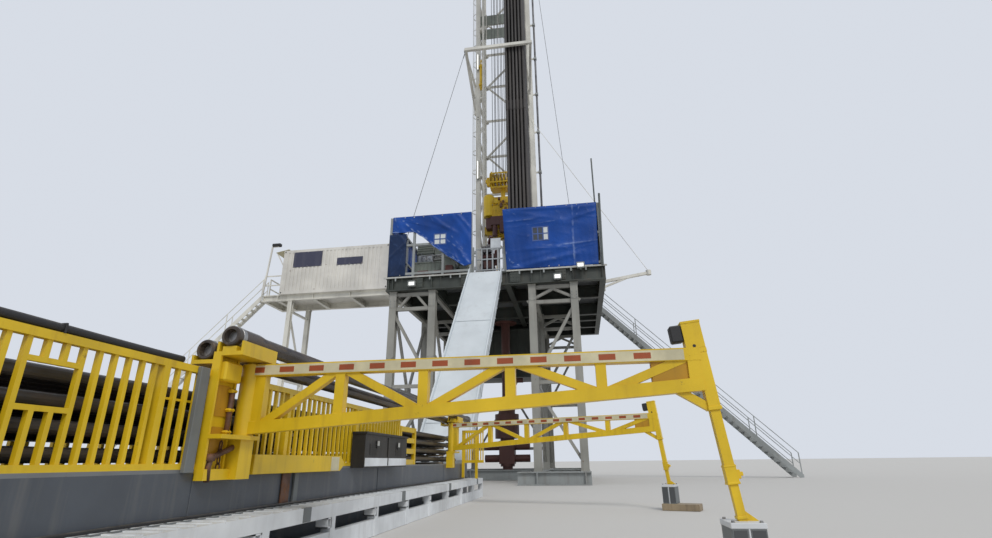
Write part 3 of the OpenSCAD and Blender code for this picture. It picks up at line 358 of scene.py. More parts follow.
def put(
    name: str, shape: Surface, finish: "Finish", body: Optional[Body] = Body.RIG, smooth: bool = False,
    bevel: float = 0.0, thick: float = 0.0
) -> Piece:
    """Makes a piece of a surface, dresses it and lets it ride on a body.

    Args:
        name: The piece's name.
        shape: Its surface.
        finish: Its finish.
        body: The body that it rides on, or None to leave it on no body.
        smooth: Shade its faces smooth.
        bevel: Width of a bevel on its sharp edges, or 0.
        thick: Thickness that a single sheet gets, or 0.

    Returns:
        The object.
    """
    mesh = bpy.data.meshes.new(name)
    mesh.from_pydata(shape.verts, [], shape.quads.tolist() + shape.tris.tolist())
    if shape.uv is not None:
        corner = np.zeros(len(mesh.loops), int)
        mesh.loops.foreach_get("vertex_index", corner)
        mesh.uv_layers.new(name="cloth").data.foreach_set("uv", shape.uv[corner].ravel())
    if shape.fold is not None:
        mesh.attributes.new("fold", "FLOAT", "POINT").data.foreach_set("value", shape.fold)
    mesh.polygons.foreach_set("use_smooth", np.full(len(mesh.polygons), smooth))
    mesh.materials.append(finish.material())
    mesh.update()
    obj = bpy.data.objects.new(name, mesh)
    bpy.context.scene.collection.objects.link(obj)
    if thick:
        wall = obj.modifiers.new("wall", "SOLIDIFY")
        wall.thickness, wall.offset = thick, 0.0
    if bevel:
        edge = obj.modifiers.new("edge", "BEVEL")
        edge.width, edge.segments, edge.limit_method = bevel, 1, "ANGLE"
        edge.angle_limit = BEVEL_ANGLE
    if body:
        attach(obj, body.value)
    LOG.info("%s: %d faces on %s", name, len(mesh.polygons), body)
    return obj


# Finishes


class Graph:
    """Short calls for the nodes of a material or of the world."""

    def __init__(self, tree: bpy.types.NodeTree) -> None:
        """Starts on that tree; a material's graph reads object coordinates."""
        self.tree = tree
        self.shader = tree.nodes.get("Principled BSDF")
        self.place = self.node("ShaderNodeTexCoord").outputs["Object"] if self.shader else None

    def node(
        self, kind: str, values: Optional[Dict[object, object]] = None, **props: object
    ) -> bpy.types.Node:
        """Returns a new node with those properties, and with its sockets fed."""
        made = self.tree.nodes.new(kind)
        for key, value in props.items():
            setattr(made, key, value)
        for key, value in (values or {}).items():
            self.feed(made.inputs[key], value)
        return made

    def feed(self, socket: Socket, value: object) -> None:
        """Links a socket to an output, or sets its value."""
        if isinstance(value, Socket):
            self.tree.links.new(value, socket)
        elif socket.type == "RGBA":
            socket.default_value = (*value, 1.0)
        else:
            socket.default_value = value

    def give(self, name: str, value: object) -> None:
        """Feeds one of the shader's own sockets."""
        self.feed(self.shader.inputs[name], value)

    def stretched(self, scale: Point) -> Socket:
        """Returns object coordinates scaled by those amounts."""
        return self.node("ShaderNodeMapping", {"Vector": self.place, "Scale": scale}).outputs["Vector"]

    def noise(
        self, scale: float, detail: float = 3.0, vector: Optional[Socket] = None, rough: float = 0.55
    ) -> Socket:
        """Returns a noise's factor."""
        values = {"Vector": vector or self.place, "Scale": scale, "Detail": detail, "Roughness": rough}
        return self.node("ShaderNodeTexNoise", values).outputs["Fac"]

    def steps(self, value: object, low: float, high: float) -> Socket:
        """Returns value brought from low to high onto 0 to 1, and held there."""
        return self.node(
            "ShaderNodeMapRange", {"Value": value, "From Min": low, "From Max": high}
        ).outputs["Result"]

    def sum(self, kind: str, a: object, b: object = 0.0) -> Socket:
        """Returns the difference, sine or other result of two values."""
        return self.node("ShaderNodeMath", {0: a, 1: b}, operation=kind).outputs[0]

    def plus(self, a: object, b: object) -> Socket:
        """Returns a + b."""
        return self.sum("ADD", a, b)

    def times(self, a: object, b: object) -> Socket:
        """Returns a b."""
        return self.sum("MULTIPLY", a, b)

    def mix(self, share: object, a: object, b: object) -> Socket:
        """Returns colour a turned into b by share."""
        return self.node("ShaderNodeMix", {"Factor": share, 6: a, 7: b}, data_type="RGBA").outputs[2]

    def parts(self, vector: Socket) -> List[Socket]:
        """Returns the three parts of a vector."""
        return list(self.node("ShaderNodeSeparateXYZ", {0: vector}).outputs)

    def upward(self) -> Socket:
        """Returns how far a face looks up, from -1 to 1."""
        return self.parts(self.node("ShaderNodeNewGeometry").outputs["Normal"])[2]

    def raised(self, height: Socket, strength: float, distance: float) -> None:
        """Gives the shader a bump of that height."""
        values = {"Strength": strength, "Distance": distance, "Height": height}
        self.give("Normal", self.node("ShaderNodeBump", values).outputs["Normal"])


def shaded(colour: Colour, share: float) -> Colour:
    """Returns every part of a colour times share."""
    return tuple(c * share for c in colour)


@dataclass(frozen=True)
class Finish:
    """A finish with its record slot. Made once, then shared."""

    slot: str
    name: str

    def material(self) -> bpy.types.Material:
        """Returns the finish's material, made the first time."""
        found = bpy.data.materials.get(self.name)
        if found is None:
            found = bpy.data.materials.new(self.name)
            found.use_nodes = True
            self.build(Graph(found.node_tree))
        return found

    def build(self, g: Graph) -> None:
        """Fills the graph in."""
        raise NotImplementedError


@dataclass(frozen=True)
class Paint(Finish):
    """Weathered paint: faded patches, runs down upright faces, dust on top, chips."""

    colour: Colour = (0.5, 0.5, 0.5)
    faded: float = 0.12
    stain: Colour = (0.12, 0.08, 0.05)
    runs: float = 0.35
    dust: float = 0.3
    chips: float = 0.15
    under: Colour = (0.16, 0.09, 0.06)
    grain: float = 1.0
    rough: float = 0.5
    metal: float = 0.0
    dent: float = 0.12

    def build(self, g: Graph) -> None:
        """Layers faded paint, runs, dust and chips from noise in object space."""
        k = self.grain
        pale = tuple(min(1.0, c * (1 + self.faded) + 0.02 * self.faded) for c in self.colour)
        patch = g.steps(g.noise(1.3 * k, 4), 0.35, 0.68)
        colour = g.mix(patch, shaded(self.colour, 1 - self.faded * 1.6), pale)
        run = g.steps(g.noise(1.0, 4, g.stretched((9 * k, 9 * k, 0.7 * k))), 0.5, 0.72)
        run = g.times(run, g.steps(g.noise(0.8 * k, 2), 0.3, 0.7))
        colour = g.mix(g.times(run, self.runs), colour, self.stain)
        chip = g.times(
            g.steps(g.noise(11 * k, 5, rough=0.65), 0.66, 0.7), g.steps(g.noise(2.2 * k, 2), 0.45, 0.6))
        chip = g.times(chip, min(1.0, self.chips * 3))
        colour = g.mix(chip, colour, self.under)
        top = g.times(g.steps(g.upward(), 0.35, 0.95), g.steps(g.noise(3.5 * k, 4), 0.25, 0.75))
        g.give("Base Color", g.mix(g.times(top, self.dust), colour, DUST_COLOUR))
        fine = g.noise(38 * k, 3)
        dull = g.plus(g.times(patch, 0.14), g.times(fine, 0.16))
        g.give("Roughness", g.plus(dull, self.rough - 0.12))
        g.give("Metallic", self.metal)
        hollow = g.sum("SUBTRACT", g.noise(5 * k, 3), g.times(chip, 0.6))
        g.raised(g.plus(g.times(fine, 0.25), hollow), self.dent, 0.01 / k)


@dataclass(frozen=True)
class Grease(Finish):
    """Dark steel under grease and dried mud, as on pipe, rope and castings."""

    colour: Colour = (0.06, 0.05, 0.045)
    mud: Colour = (0.26, 0.2, 0.15)
    muddy: float = 0.5
    grain: float = 1.0
    rough: float = 0.38
    metal: float = 0.35
    stretch: Point = (1.0, 1.0, 1.0)

    def build(self, g: Graph) -> None:
        """Layers wet dark patches and mud over bare steel from noise in object space."""
        k = self.grain
        way = g.stretched(self.stretch)
        pale = tuple(min(1.0, c * 2.1 + 0.01) for c in self.colour)
        colour = g.mix(g.steps(g.noise(4 * k, 4, way), 0.4, 0.62), pale, self.colour)
        cake = g.times(g.steps(g.noise(7 * k, 5, way, 0.62), 0.5, 0.66), self.muddy)
        g.give("Base Color", g.mix(cake, colour, self.mud))
        dull = g.plus(g.times(cake, 0.4), g.times(g.noise(30 * k, 2), 0.2))
        g.give("Roughness", g.plus(dull, self.rough - 0.1))
        g.give("Metallic", self.metal)
        g.raised(g.plus(g.times(cake, 0.7), g.times(g.noise(45 * k, 3), 0.25)), 0.35, 0.006 / k)


@dataclass(frozen=True)
class Cloth(Finish):
    """Coated woven tarpaulin: fine weave, whitened folds, dust and a soft shine."""

    colour: Colour = (0.014, 0.062, 0.3)
    worn: Colour = (0.34, 0.45, 0.72)
    run: Colour = (0.03, 0.08, 0.2)

    def build(self, g: Graph) -> None:
        """Colours by the fold attribute and noise, with the weave on the sheet's own UV."""
        fold = g.node("ShaderNodeAttribute", attribute_name="fold").outputs["Fac"]
        u, v, _ = g.parts(g.node("ShaderNodeUVMap", uv_map="cloth").outputs["UV"])
        patch = g.steps(g.noise(1.6, 4), 0.32, 0.7)
        colour = g.mix(patch, shaded(self.colour, 0.72), shaded(self.colour, 1.25))
        crease = g.times(g.steps(fold, 0.2, 0.95), g.steps(g.noise(9, 4), 0.35, 0.62))
        colour = g.mix(g.times(crease, 0.8), colour, self.worn)
        streak = g.steps(g.noise(1.0, 4, g.stretched((7, 7, 0.6))), 0.56, 0.74)
        g.give("Base Color", g.mix(g.times(streak, 0.12), colour, self.run))
        g.give("Roughness", g.plus(g.times(patch, 0.12), 0.36))
        g.give("Sheen Weight", 0.04)
        g.give("Specular IOR Level", 0.24)
        weave = g.times(g.sum("SINE", g.times(u, THREAD_TURNS)), g.sum("SINE", g.times(v, THREAD_TURNS)))
        g.raised(g.plus(g.times(weave, 0.06), g.noise(14, 4)), 0.35, 0.012)


@dataclass(frozen=True)
class Pane(Finish):
    """Clear window film or glass with a little haze."""

    tint: Colour = (0.72, 0.76, 0.8)
    solid: float = 0.35

    def build(self, g: Graph) -> None:
        """Sets a thin glossy sheet whose alpha is the share that hides what is behind."""
        haze = g.steps(g.noise(6, 3), 0.3, 0.7)
        g.give("Base Color", g.mix(haze, self.tint, shaded(self.tint, 0.85)))
        g.give("Alpha", g.plus(g.times(haze, 0.15), self.solid))
        g.give("Roughness", 0.12)


@dataclass(frozen=True)
class Glow(Finish):
    """The lens of a flood lamp that is on."""

    colour: Colour = (1.0, 0.98, 0.92)
    power: float = 1.1

    def build(self, g: Graph) -> None:
        """Lights the lens, a little weaker between its ribs."""
        rib = g.steps(g.noise(60, 2), 0.2, 0.8)
        g.give("Base Color", g.mix(rib, (0.8, 0.8, 0.76), (0.95, 0.95, 0.92)))
        g.give("Emission Color", self.colour)
        g.give("Emission Strength", g.times(g.plus(rib, 1.0), self.power / 2))
        g.give("Roughness", 0.3)


@dataclass(frozen=True)
class Plain(Finish):
    """One even dull colour."""

    colour: Colour = (0.5, 0.5, 0.5)
    rough: float = 0.9

    def build(self, g: Graph) -> None:
        """Sets the colour and the roughness."""
        g.give("Base Color", self.colour)
        g.give("Roughness", self.rough)


class Coat:
    """Every finish of the rig, by what it is on."""

    GREY = Paint("steel_grey", "grey_paint", (0.3, 0.32, 0.32), runs=0.4, dust=0.5)
    LIGHT = Paint("steel_light", "light_grey_paint", (0.5, 0.5, 0.47), runs=0.35, dust=0.25)
    DARK = Paint("steel_dark", "dark_green_grey_paint", (0.105, 0.12, 0.115), runs=0.5, dust=0.2)
    DECK = Paint("deck_steel", "deck_plate", (0.2, 0.21, 0.22), dust=0.45, metal=0.3)
    CAST = Grease("cast_dark", "oiled_casting", (0.06, 0.06, 0.065), muddy=0.25)
    RED = Paint("preventer_red", "dusty_red_paint", (0.1, 0.034, 0.026), dust=0.3)
    GATE = Paint("gate_grey", "gate_paint", (0.33, 0.35, 0.37), runs=0.3)
    TARP = Cloth("tarpaulin", "blue_tarpaulin", (0.005, 0.058, 0.3))
    TARP_DARK = Cloth("tarpaulin", "dark_blue_tarpaulin", (0.008, 0.026, 0.085), worn=(0.05, 0.1, 0.25))
    RAMP = Paint(
        "ramp_grey", "ramp_paint", (0.66, 0.705, 0.735), faded=0.06, runs=0.12, dust=0.1, chips=0.06)
    CREAM = Paint("mast_cream", "cream_paint", (0.7, 0.685, 0.63), runs=0.4, dust=0.15)
    PIPE = Grease(
        "pipe_steel", "stand_pipe_steel", (0.03, 0.027, 0.026), mud=(0.1, 0.085, 0.075), muddy=0.35,
        grain=0.7, stretch=(1, 1, 0.12), rough=0.6, metal=0.15)
    PIPE_NEAR = Grease(
        "pipe_steel", "muddy_pipe_steel", (0.036, 0.028, 0.022), mud=(0.17, 0.125, 0.085), muddy=0.85,
        grain=3.5, stretch=(1, 0.22, 1), rough=0.3)
    PIPE_DECK = Grease(
        "pipe_steel", "weathered_pipe_steel", (0.03, 0.026, 0.024), mud=(0.11, 0.08, 0.06), muddy=0.6,
        grain=3.0, stretch=(1, 0.2, 1))
    MACHINE = Paint(
        "machine_yellow", "machine_yellow_paint", (0.72, 0.47, 0.018), stain=(0.06, 0.035, 0.015), runs=0.75,
        grain=2.0, chips=0.3)
    BARE = Grease("bare_steel", "machined_steel", (0.2, 0.2, 0.2), muddy=0.3, metal=0.8)
    ROPE = Grease("wire_rope", "greased_rope", (0.05, 0.05, 0.05), muddy=0.2, grain=4)
    HOUSE = Paint(
        "container_white", "aged_white_paint", (0.73, 0.705, 0.65), runs=0.4, stain=(0.34, 0.3, 0.24),
        dust=0.2, chips=0.2)
    NAVY = Paint(
        "container_white", "navy_panel_paint", (0.045, 0.047, 0.085), runs=0.2, chips=0.2,
        stain=(0.3, 0.3, 0.32))
    SKID = Paint(
        "skid_blue_grey", "skid_paint", (0.085, 0.098, 0.118), grain=2.2, runs=0.3, stain=(0.28, 0.26, 0.23),
        chips=0.1, rough=0.42)
    YELLOW = Paint(
        "safety_yellow", "safety_yellow_paint", (0.76, 0.51, 0.013), faded=0.08, stain=(0.3, 0.15, 0.02),
        runs=0.4, grain=3.0, chips=0.22, under=(0.1, 0.06, 0.03), rough=0.4, dust=0.12, dent=0.16)
    WALK = Paint("walkway_grey", "walkway_paint", (0.76, 0.785, 0.81), grain=2.2, runs=0.25, dust=0.35)
    BLACK = Paint(
        "cabinet_black", "black_paint", (0.018, 0.017, 0.016), grain=2.5, stain=(0.12, 0.1, 0.07), runs=0.3,
        dust=0.3)
    TAN = Paint("container_white", "tan_canopy_paint", (0.62, 0.57, 0.38), runs=0.3)
    RUBBER = Paint(
        "steel_dark", "black_rubber", (0.02, 0.02, 0.022), runs=0.1, grain=4.0, chips=0.0, rough=0.55)
    TOWER = Paint(
        "steel_grey", "tower_paint", (0.325, 0.32, 0.29), runs=0.45, stain=(0.1, 0.075, 0.055), dust=0.15,
        chips=0.2)
    # Partly painted shade: the floor beams' dark paint, made darker to stand in for the shade under the
    # drill floor.
    FLOOR = Paint(
        "steel_dark", "floor_beam_paint_and_shade", (0.048, 0.056, 0.048), faded=0.3, runs=0.5, dust=0.1, chips=0.2)
    TAPE_PALE = Paint(
        "safety_yellow", "pale_tape", (0.66, 0.6, 0.4), runs=0.15, grain=6.0, dust=0.05, chips=0.05,
        stain=(0.35, 0.28, 0.14))
    TAPE_RED = Paint(
        "safety_yellow", "red_tape", (0.36, 0.075, 0.02), runs=0.2, grain=6.0, dust=0.05, chips=0.1,
        under=(0.5, 0.42, 0.25))
    PLATFORM = Paint("steel_light", "platform_paint", (0.78, 0.76, 0.685), runs=0.3, dust=0.2)
    # Painted shade: a dark copy of the foot's grey, for its openings that lie in shade.
    FOOT_DARK = Paint("steel_grey", "shaded_foot_paint", (0.075, 0.08, 0.085), runs=0.2, grain=3.0, dust=0.2)
    FOOT = Paint("steel_grey", "foot_paint", (0.16, 0.175, 0.18), runs=0.3, grain=3.0, dust=0.4)
    RUST = Grease(
        "bare_steel", "rusty_steel", (0.07, 0.035, 0.022), mud=(0.28, 0.12, 0.05), muddy=0.5, grain=4.0,
        metal=0.2, rough=0.6)
    # Painted shade: a darker copy of the safety yellow, for yellow faces that lie in shade.
    SHADED_YELLOW = Paint(
        "safety_yellow", "shaded_yellow_paint", (0.52, 0.27, 0.01), grain=3.0, runs=0.5,
        stain=(0.2, 0.08, 0.02), chips=0.3, under=(0.12, 0.06, 0.03))
    TAPE = Paint("tarpaulin", "window_tape", (0.62, 0.66, 0.7), runs=0.2, grain=3.0, dust=0.1)
    BRASS = Grease("tarpaulin", "eyelet_metal", (0.35, 0.33, 0.28), metal=0.9, muddy=0.2)
    CORD = Paint("tarpaulin", "lashing_cord", (0.45, 0.45, 0.42), grain=6.0)
    BAND = Paint("tarpaulin", "window_band", (0.05, 0.1, 0.3), runs=0.2, grain=3.0, dust=0.1)
    SPINNER = Paint(
        "machine_yellow", "spinner_red_paint", (0.08, 0.022, 0.018), runs=0.6, grain=2.5, dust=0.2)
    WOOD = Paint(
        "steel_light", "sleeper_timber", (0.33, 0.26, 0.17), runs=0.6, grain=3.0, dust=0.4, rough=0.75,
        dent=0.4)
    FILM = Pane("tarpaulin", "window_film", (0.82, 0.86, 0.86), solid=0.75)
    # Painted shade: a dark copy of the window film, for film that lies in shade.
    FILM_DARK = Pane("tarpaulin", "shaded_window_film", (0.06, 0.07, 0.085), solid=0.85)
    GEAR = Paint(
        "steel_grey", "grey_green_paint", (0.25, 0.28, 0.245), grain=2.5, runs=0.5, dust=0.3, chips=0.25)
    GLASS = Pane("container_white", "house_glass", (0.1, 0.13, 0.15), solid=0.8)
    LENS = Glow("steel_light", "lamp_lens")


# CAD nodes

NODE_COATS: Dict[str, Finish] = {
    "gate_posts": Coat.GREY, "windwall_frame": Coat.GREY, "corner_pole": Coat.DARK,
    **dict.fromkeys(("tower_left", "tower_right", "tower_cross"), Coat.TOWER),
    # The floor frame and the tank under it take the floor coat, which is partly painted shade.
    **dict.fromkeys(("floor_frame", "under_tank"), Coat.FLOOR),
    **dict.fromkeys(("house_platform", "house_leg", "house_stair", "outrigger"), Coat.PLATFORM)}


def dress_nodes(nodes: Dict[str, Piece], slots: Dict[str, str]) -> None:
    """Gives every CAD node the finish of its own kind.

    Args:
        nodes: The CAD nodes by name.
        slots: The record's slot of each node, whose first coat in the table is taken.
    """
    coats = [coat for coat in vars(Coat).values() if isinstance(coat, Finish)]
    by_slot = {coat.slot: coat for coat in reversed(coats)}
    for name, obj in nodes.items():
        coat = NODE_COATS.get(name) or by_slot[slots[name]]
        for place in obj.material_slots:
            place.material = coat.material()


# Tarpaulin walls


@dataclass(frozen=True)
class Window:
    """A clear pane in a tarpaulin, by its corners on the sheet."""

    s0: float
    s1: float
    z0: float
    z1: float
    panes: int = 2


@dataclass
class Tarp:
    """One hung sheet: where it runs, its edge, its openings and its creases."""

    name: str
    start: Pair
    end: Pair
    seed: int
    replaces: Optional[str]
    finish: Finish = Coat.TARP
    low: float = 4.133
    high: float = 5.537
    out: float = 0.0015
    gaps: Tuple[Pair, ...] = ()
    window: Optional[Window] = None
    edge: Tuple[Pair, ...] = ()
    seams: Row = ()
    creases: Tuple[Row, ...] = ()
    step: float = 0.022
    billow: float = 0.012
    knee: float = 4.76
    pulls: Row = (0.0, 0.0, 0.0, 0.0)
    tied: bool = True
    slant: Pair = (0.5, 2.6)

    @property
    def length(self) -> float:
        """The straight length from start to end."""
        return math.dist(self.start, self.end)

    def ways(self) -> Tuple[Array, Array]:
        """Returns the direction along the sheet and its outward normal, which is along x up."""
        along = np.array([self.end[0] - self.start[0], self.end[1] - self.start[1], 0.0]) / self.length
        return along, np.cross(along, [0.0, 0.0, 1.0])

    def lines(self) -> Array:
        """Returns the grid's places along the sheet, with one on every cut."""
        cuts = [0.0, self.length, *[v for gap in self.gaps for v in gap], *[x for x, _ in self.edge]]
        if self.window:
            cuts += [self.window.s0, self.window.s1]
        marks = np.unique(np.round(cuts, 5))
        spans = [
            np.linspace(a, b, max(2, int((b - a) / self.step) + 1), endpoint=False)
            for a, b in zip(marks[:-1], marks[1:])]
        return np.concatenate([*spans, marks[-1:]])

    def stroke(self, s: Array, z: Array, lean: float, mid: Pair, wide: float, reach: float) -> Array:
        """One straight ridge of the cloth.

        Formula: exp(-(a / wide)^2) exp(-(b / reach)^4), where a is the distance across
        and b the distance along a line through mid that leans by lean.

        Args:
            s: Places along the sheet.
            z: Heights.
            lean: The line's angle from level.
            mid: The ridge's middle.
            wide: Its width.
            reach: Its half length.

        Returns:
            The ridge at every point, from 0 to 1.
        """
        across = (s - mid[0]) * math.sin(lean) - (z - mid[1]) * math.cos(lean)
        along = (s - mid[0]) * math.cos(lean) + (z - mid[1]) * math.sin(lean)
        return np.exp(-((across / wide) ** 2)) * np.exp(-((along / reach) ** 4))

    def shape(self, s: Array, z: Array) -> Tuple[Array, Array]:
        """Height off the flat sheet and share of each point that is a fold.

        Formula: the height is a billow of sines held at the posts, plus soft and sharp
        strokes of seeded direction, ridges exp(-(d / w)^2) at distance d from each
        given crease, and seams. The fold share is the sum of those ridges.

        Args:
            s: Places along the sheet.
            z: Heights.

        Returns:
            The height and the fold share, as arrays of the same shape.
        """
        rng = np.random.default_rng(self.seed)
        u = s / self.length
        v = (z - self.low) / (self.high - self.low)
        held = np.clip(np.sin(np.pi * np.clip(v, 0, 1)), 0, 1) ** 0.6
        height = self.billow * held * (0.5 + 0.5 * np.sin(2 * np.pi * s / 0.63 + 2.2 * v + self.seed))
        height += 0.35 * self.billow * np.abs(np.sin(2 * np.pi * s / 0.26 + 3 * v)) * (1 - v) ** 2
        fold = np.zeros_like(s)
        for _ in range(int(5 + 4 * self.length)):
            lean = rng.uniform(*self.slant)
            mid = (rng.uniform(0, self.length), rng.uniform(self.low, self.high))
            soft = self.stroke(s, z, lean, mid, rng.uniform(0.03, 0.07), rng.uniform(0.3, 0.9))
            height = height + soft * rng.uniform(0.008, 0.02)
            fold = fold + 0.12 * soft
        for _ in range(int(4 + 4 * self.length)):
            lean = rng.uniform(*self.slant) + rng.normal(0, 0.2)
            mid = (rng.uniform(0, self.length), rng.uniform(self.low, self.high))
            reach = rng.uniform(0.15, 0.7)
            sharp = self.stroke(s, z, lean, mid, rng.uniform(0.008, 0.022), reach)
            fold = fold + sharp * rng.uniform(0.12, 0.42)
            height = height + sharp * 0.006
        for s0, z0, s1, z1, share in self.creases:
            way = np.array([s1 - s0, z1 - z0])
            long = float(np.hypot(*way))
            way = way / long
            along = np.clip((s - s0) * way[0] + (z - z0) * way[1], 0, long)
            gap = np.hypot(s - s0 - along * way[0], z - z0 - along * way[1])
            ridge = np.exp(-((gap / 0.013) ** 2)) * (0.55 + 0.45 * np.sin(along * 37 + s0 * 9))
            fold, height = fold + share * ridge, height + 0.007 * ridge
        for seam in self.seams:
            strip = np.exp(-(((s - seam) / 0.014) ** 4))
            fold, height = fold + 0.5 * strip, height + 0.002 * strip
        hem = np.exp(-(((self.high - z) / 0.03) ** 4))
        height = height * (1 - 0.9 * hem) * np.clip(u / 0.03, 0, 1) * np.clip((1 - u) / 0.03, 0, 1)
        if self.window:
            w = self.window
            away = np.maximum(np.maximum(w.s0 - s, s - w.s1), np.maximum(w.z0 - z, z - w.z1))
            height = height * np.clip((away - 0.03) / 0.1, 0, 1)
        return height, np.clip(fold, 0, 1)

    def foot(self, s: Array) -> Array:
        """Returns the height of the lower edge at those places."""
        return np.interp(s, *np.array(self.edge).T) if self.edge else np.full_like(s, self.low)

    def surface(self) -> Surface:
        """The sheet's grid: rows run from the lower edge to the knee, then level to the top.

        Formula: z(t, s) = low(s) + t (knee(s) - low(s)) below the knee and
        knee(s) + t (high - knee(s)) above it; P = start + along s + up z + out height.

        Returns:
            The surface, with UV in metres and its fold share.
        """
        w = self.window
        s = self.lines()
        low = self.foot(s)
        knee = np.maximum(w.z0 if w else self.knee, low + 0.04)
        upper = np.linspace(0, 1, 32)
        if w:
            head = (w.z1 - w.z0) / (self.high - w.z0)
            upper = np.concatenate([np.linspace(0, head, 12)[:-1], np.linspace(head, 1, 22)])
        under = low + np.linspace(0, 1, 26)[:-1, None] * (knee - low)
        z = np.vstack([under, knee + upper[:, None] * (self.high - knee)])
        wide = np.broadcast_to(s, z.shape)
        height, fold = self.shape(wide, z)
        made = grid(self.place(wide, z, self.out + height))
        mid_s = wide.ravel()[made.quads].mean(axis=1)
        mid_z = z.ravel()[made.quads].mean(axis=1)
        keep = np.ones(len(made.quads), bool)
        for a, b in self.gaps:
            keep &= ~((mid_s > a) & (mid_s < b))
        if w:
            keep &= ~((mid_s > w.s0) & (mid_s < w.s1) & (mid_z > w.z0) & (mid_z < w.z1))
        used = np.unique(made.quads[keep])
        renumber = np.zeros(len(made.verts), int)
        renumber[used] = np.arange(len(used))
        uv = np.stack([wide.ravel(), z.ravel()], axis=1)
        return Surface(made.verts[used], renumber[made.quads[keep]], uv=uv[used], fold=fold.ravel()[used])

    def place(self, s: object, z: object, out: object) -> Array:
        """Returns points of the flat sheet, stood off by out."""
        along, normal = self.ways()
        s, z = np.broadcast_arrays(np.asarray(s, float), np.asarray(z, float))
        start, off = np.array([*self.start, 0.0]), np.asarray(out)[..., None]
        return start + self.pulled(s, z)[..., None] * along + z[..., None] * [0, 0, 1] + off * normal

    def pulled(self, s: Array, z: Array) -> Array:
        """Returns places along the sheet after its side edges are pulled in.

        Formula: s' = s + (1 - u) mix(v; first two pulls) + u mix(v; last two), u = s / length.
        """
        v = (z - self.low) / (self.high - self.low)
        u = s / self.length
        a, b, c, d = self.pulls
        return s + (1 - u) * (a + (b - a) * v) + u * (c + (d - c) * v)

    def pane(self, part: str, s0: float, s1: float, out: float, finish: Finish) -> Piece:
        """Makes a clear pane of the window's height from s0 to s1, stood off by out."""
        corners = self.place([[s0, s1]] * 2, [[self.window.z0] * 2, [self.window.z1] * 2], out)
        return put(f"{self.name}_window_{part}", grid(corners), finish, thick=0.001)

    def window_pieces(self) -> List[Piece]:
        """Makes the window's border, its glazing bars and its film; a three-pane window gets a shaded film
        as painted shade and one pale lit pane as painted light.
        """
        w = self.window
        cols = np.linspace(w.s0, w.s1, w.panes + 1)
        rows = np.linspace(w.z0, w.z1, 3)
        up = bars(self.place(cols, w.z0 - 0.012, 0.004), self.place(cols, w.z1 + 0.012, 0.004), 0.024, 0.004)
        over = bars(self.place(w.s0, rows, 0.005), self.place(w.s1, rows, 0.005), 0.004, 0.024)
        border = put(f"{self.name}_window_frame", join(up, over), Coat.BAND)
        # On a three-pane window the film is the shaded copy (painted shade) and the third pane a pale lit
        # copy (painted light).
        film = self.pane("film", w.s0, w.s1, 0.0015, Coat.FILM if w.panes == 2 else Coat.FILM_DARK)
        lit = [] if w.panes == 2 else [self.pane("pane", cols[2], cols[3], 0.003, Coat.FILM)]
        return [border, film, *lit]

    def fittings(self) -> List[Piece]:
        """Makes the eyelets along the top and foot, and the lashings where it is tied."""
        s = np.arange(0.06, self.length - 0.03, 0.22)
        for a, b in self.gaps:
            s = s[(s < a - 0.03) | (s > b + 0.03)]
        normal = self.ways()[1]
        top = self.place(s, self.high - 0.03, self.out + 0.002)
        foot = self.place(s, self.foot(s) + 0.03, self.out + 0.003)
        ring = [(0.006, 0), (0.012, 0), (0.012, 0.0025), (0.0065, 0.0035)]
        if normal.sum() < 0:
            ring = [(r, -d) for r, d in ring][::-1]
        axis = Axis.Y if abs(normal[1]) > 0.5 else Axis.X
        rings = turned(ring, np.vstack([top, foot]) if self.tied else foot, axis, 10)
        eyelets = put(f"{self.name}_eyelets", rings, Coat.BRASS, smooth=True)
        if not self.tied:
            return [eyelets]
        low = self.place(s, self.high - 0.034, self.out + 0.005)
        high = self.place(s, self.high + 0.006, self.out + 0.005)
        over = high - [0, 0, 0.002]
        cord = join(bars(low, high, 0.005, 0.003), bars(over, over - normal * 0.05, 0.005, 0.003))
        return [eyelets, put(f"{self.name}_ties", cord, Coat.CORD)]

    def hang(self, extra: Sequence[Piece] = ()) -> None:
        """Formula: the sheet's area is half of |d1 x d2| summed over its faces' diagonals.

        Args:
            extra: Other pieces that hang on this sheet.
        """
        made = self.surface()
        obj = put(self.name, made, self.finish, smooth=True, thick=0.002)
        going = (*self.fittings(), *(self.window_pieces() if self.window else []), *extra)
        corners = made.verts[made.quads]
        spans = np.cross(corners[:, 2] - corners[:, 0], corners[:, 3] - corners[:, 1])
        area = float(0.5 * np.linalg.norm(spans, axis=1).sum())
        if self.replaces:
            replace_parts(obj, self.replaces)


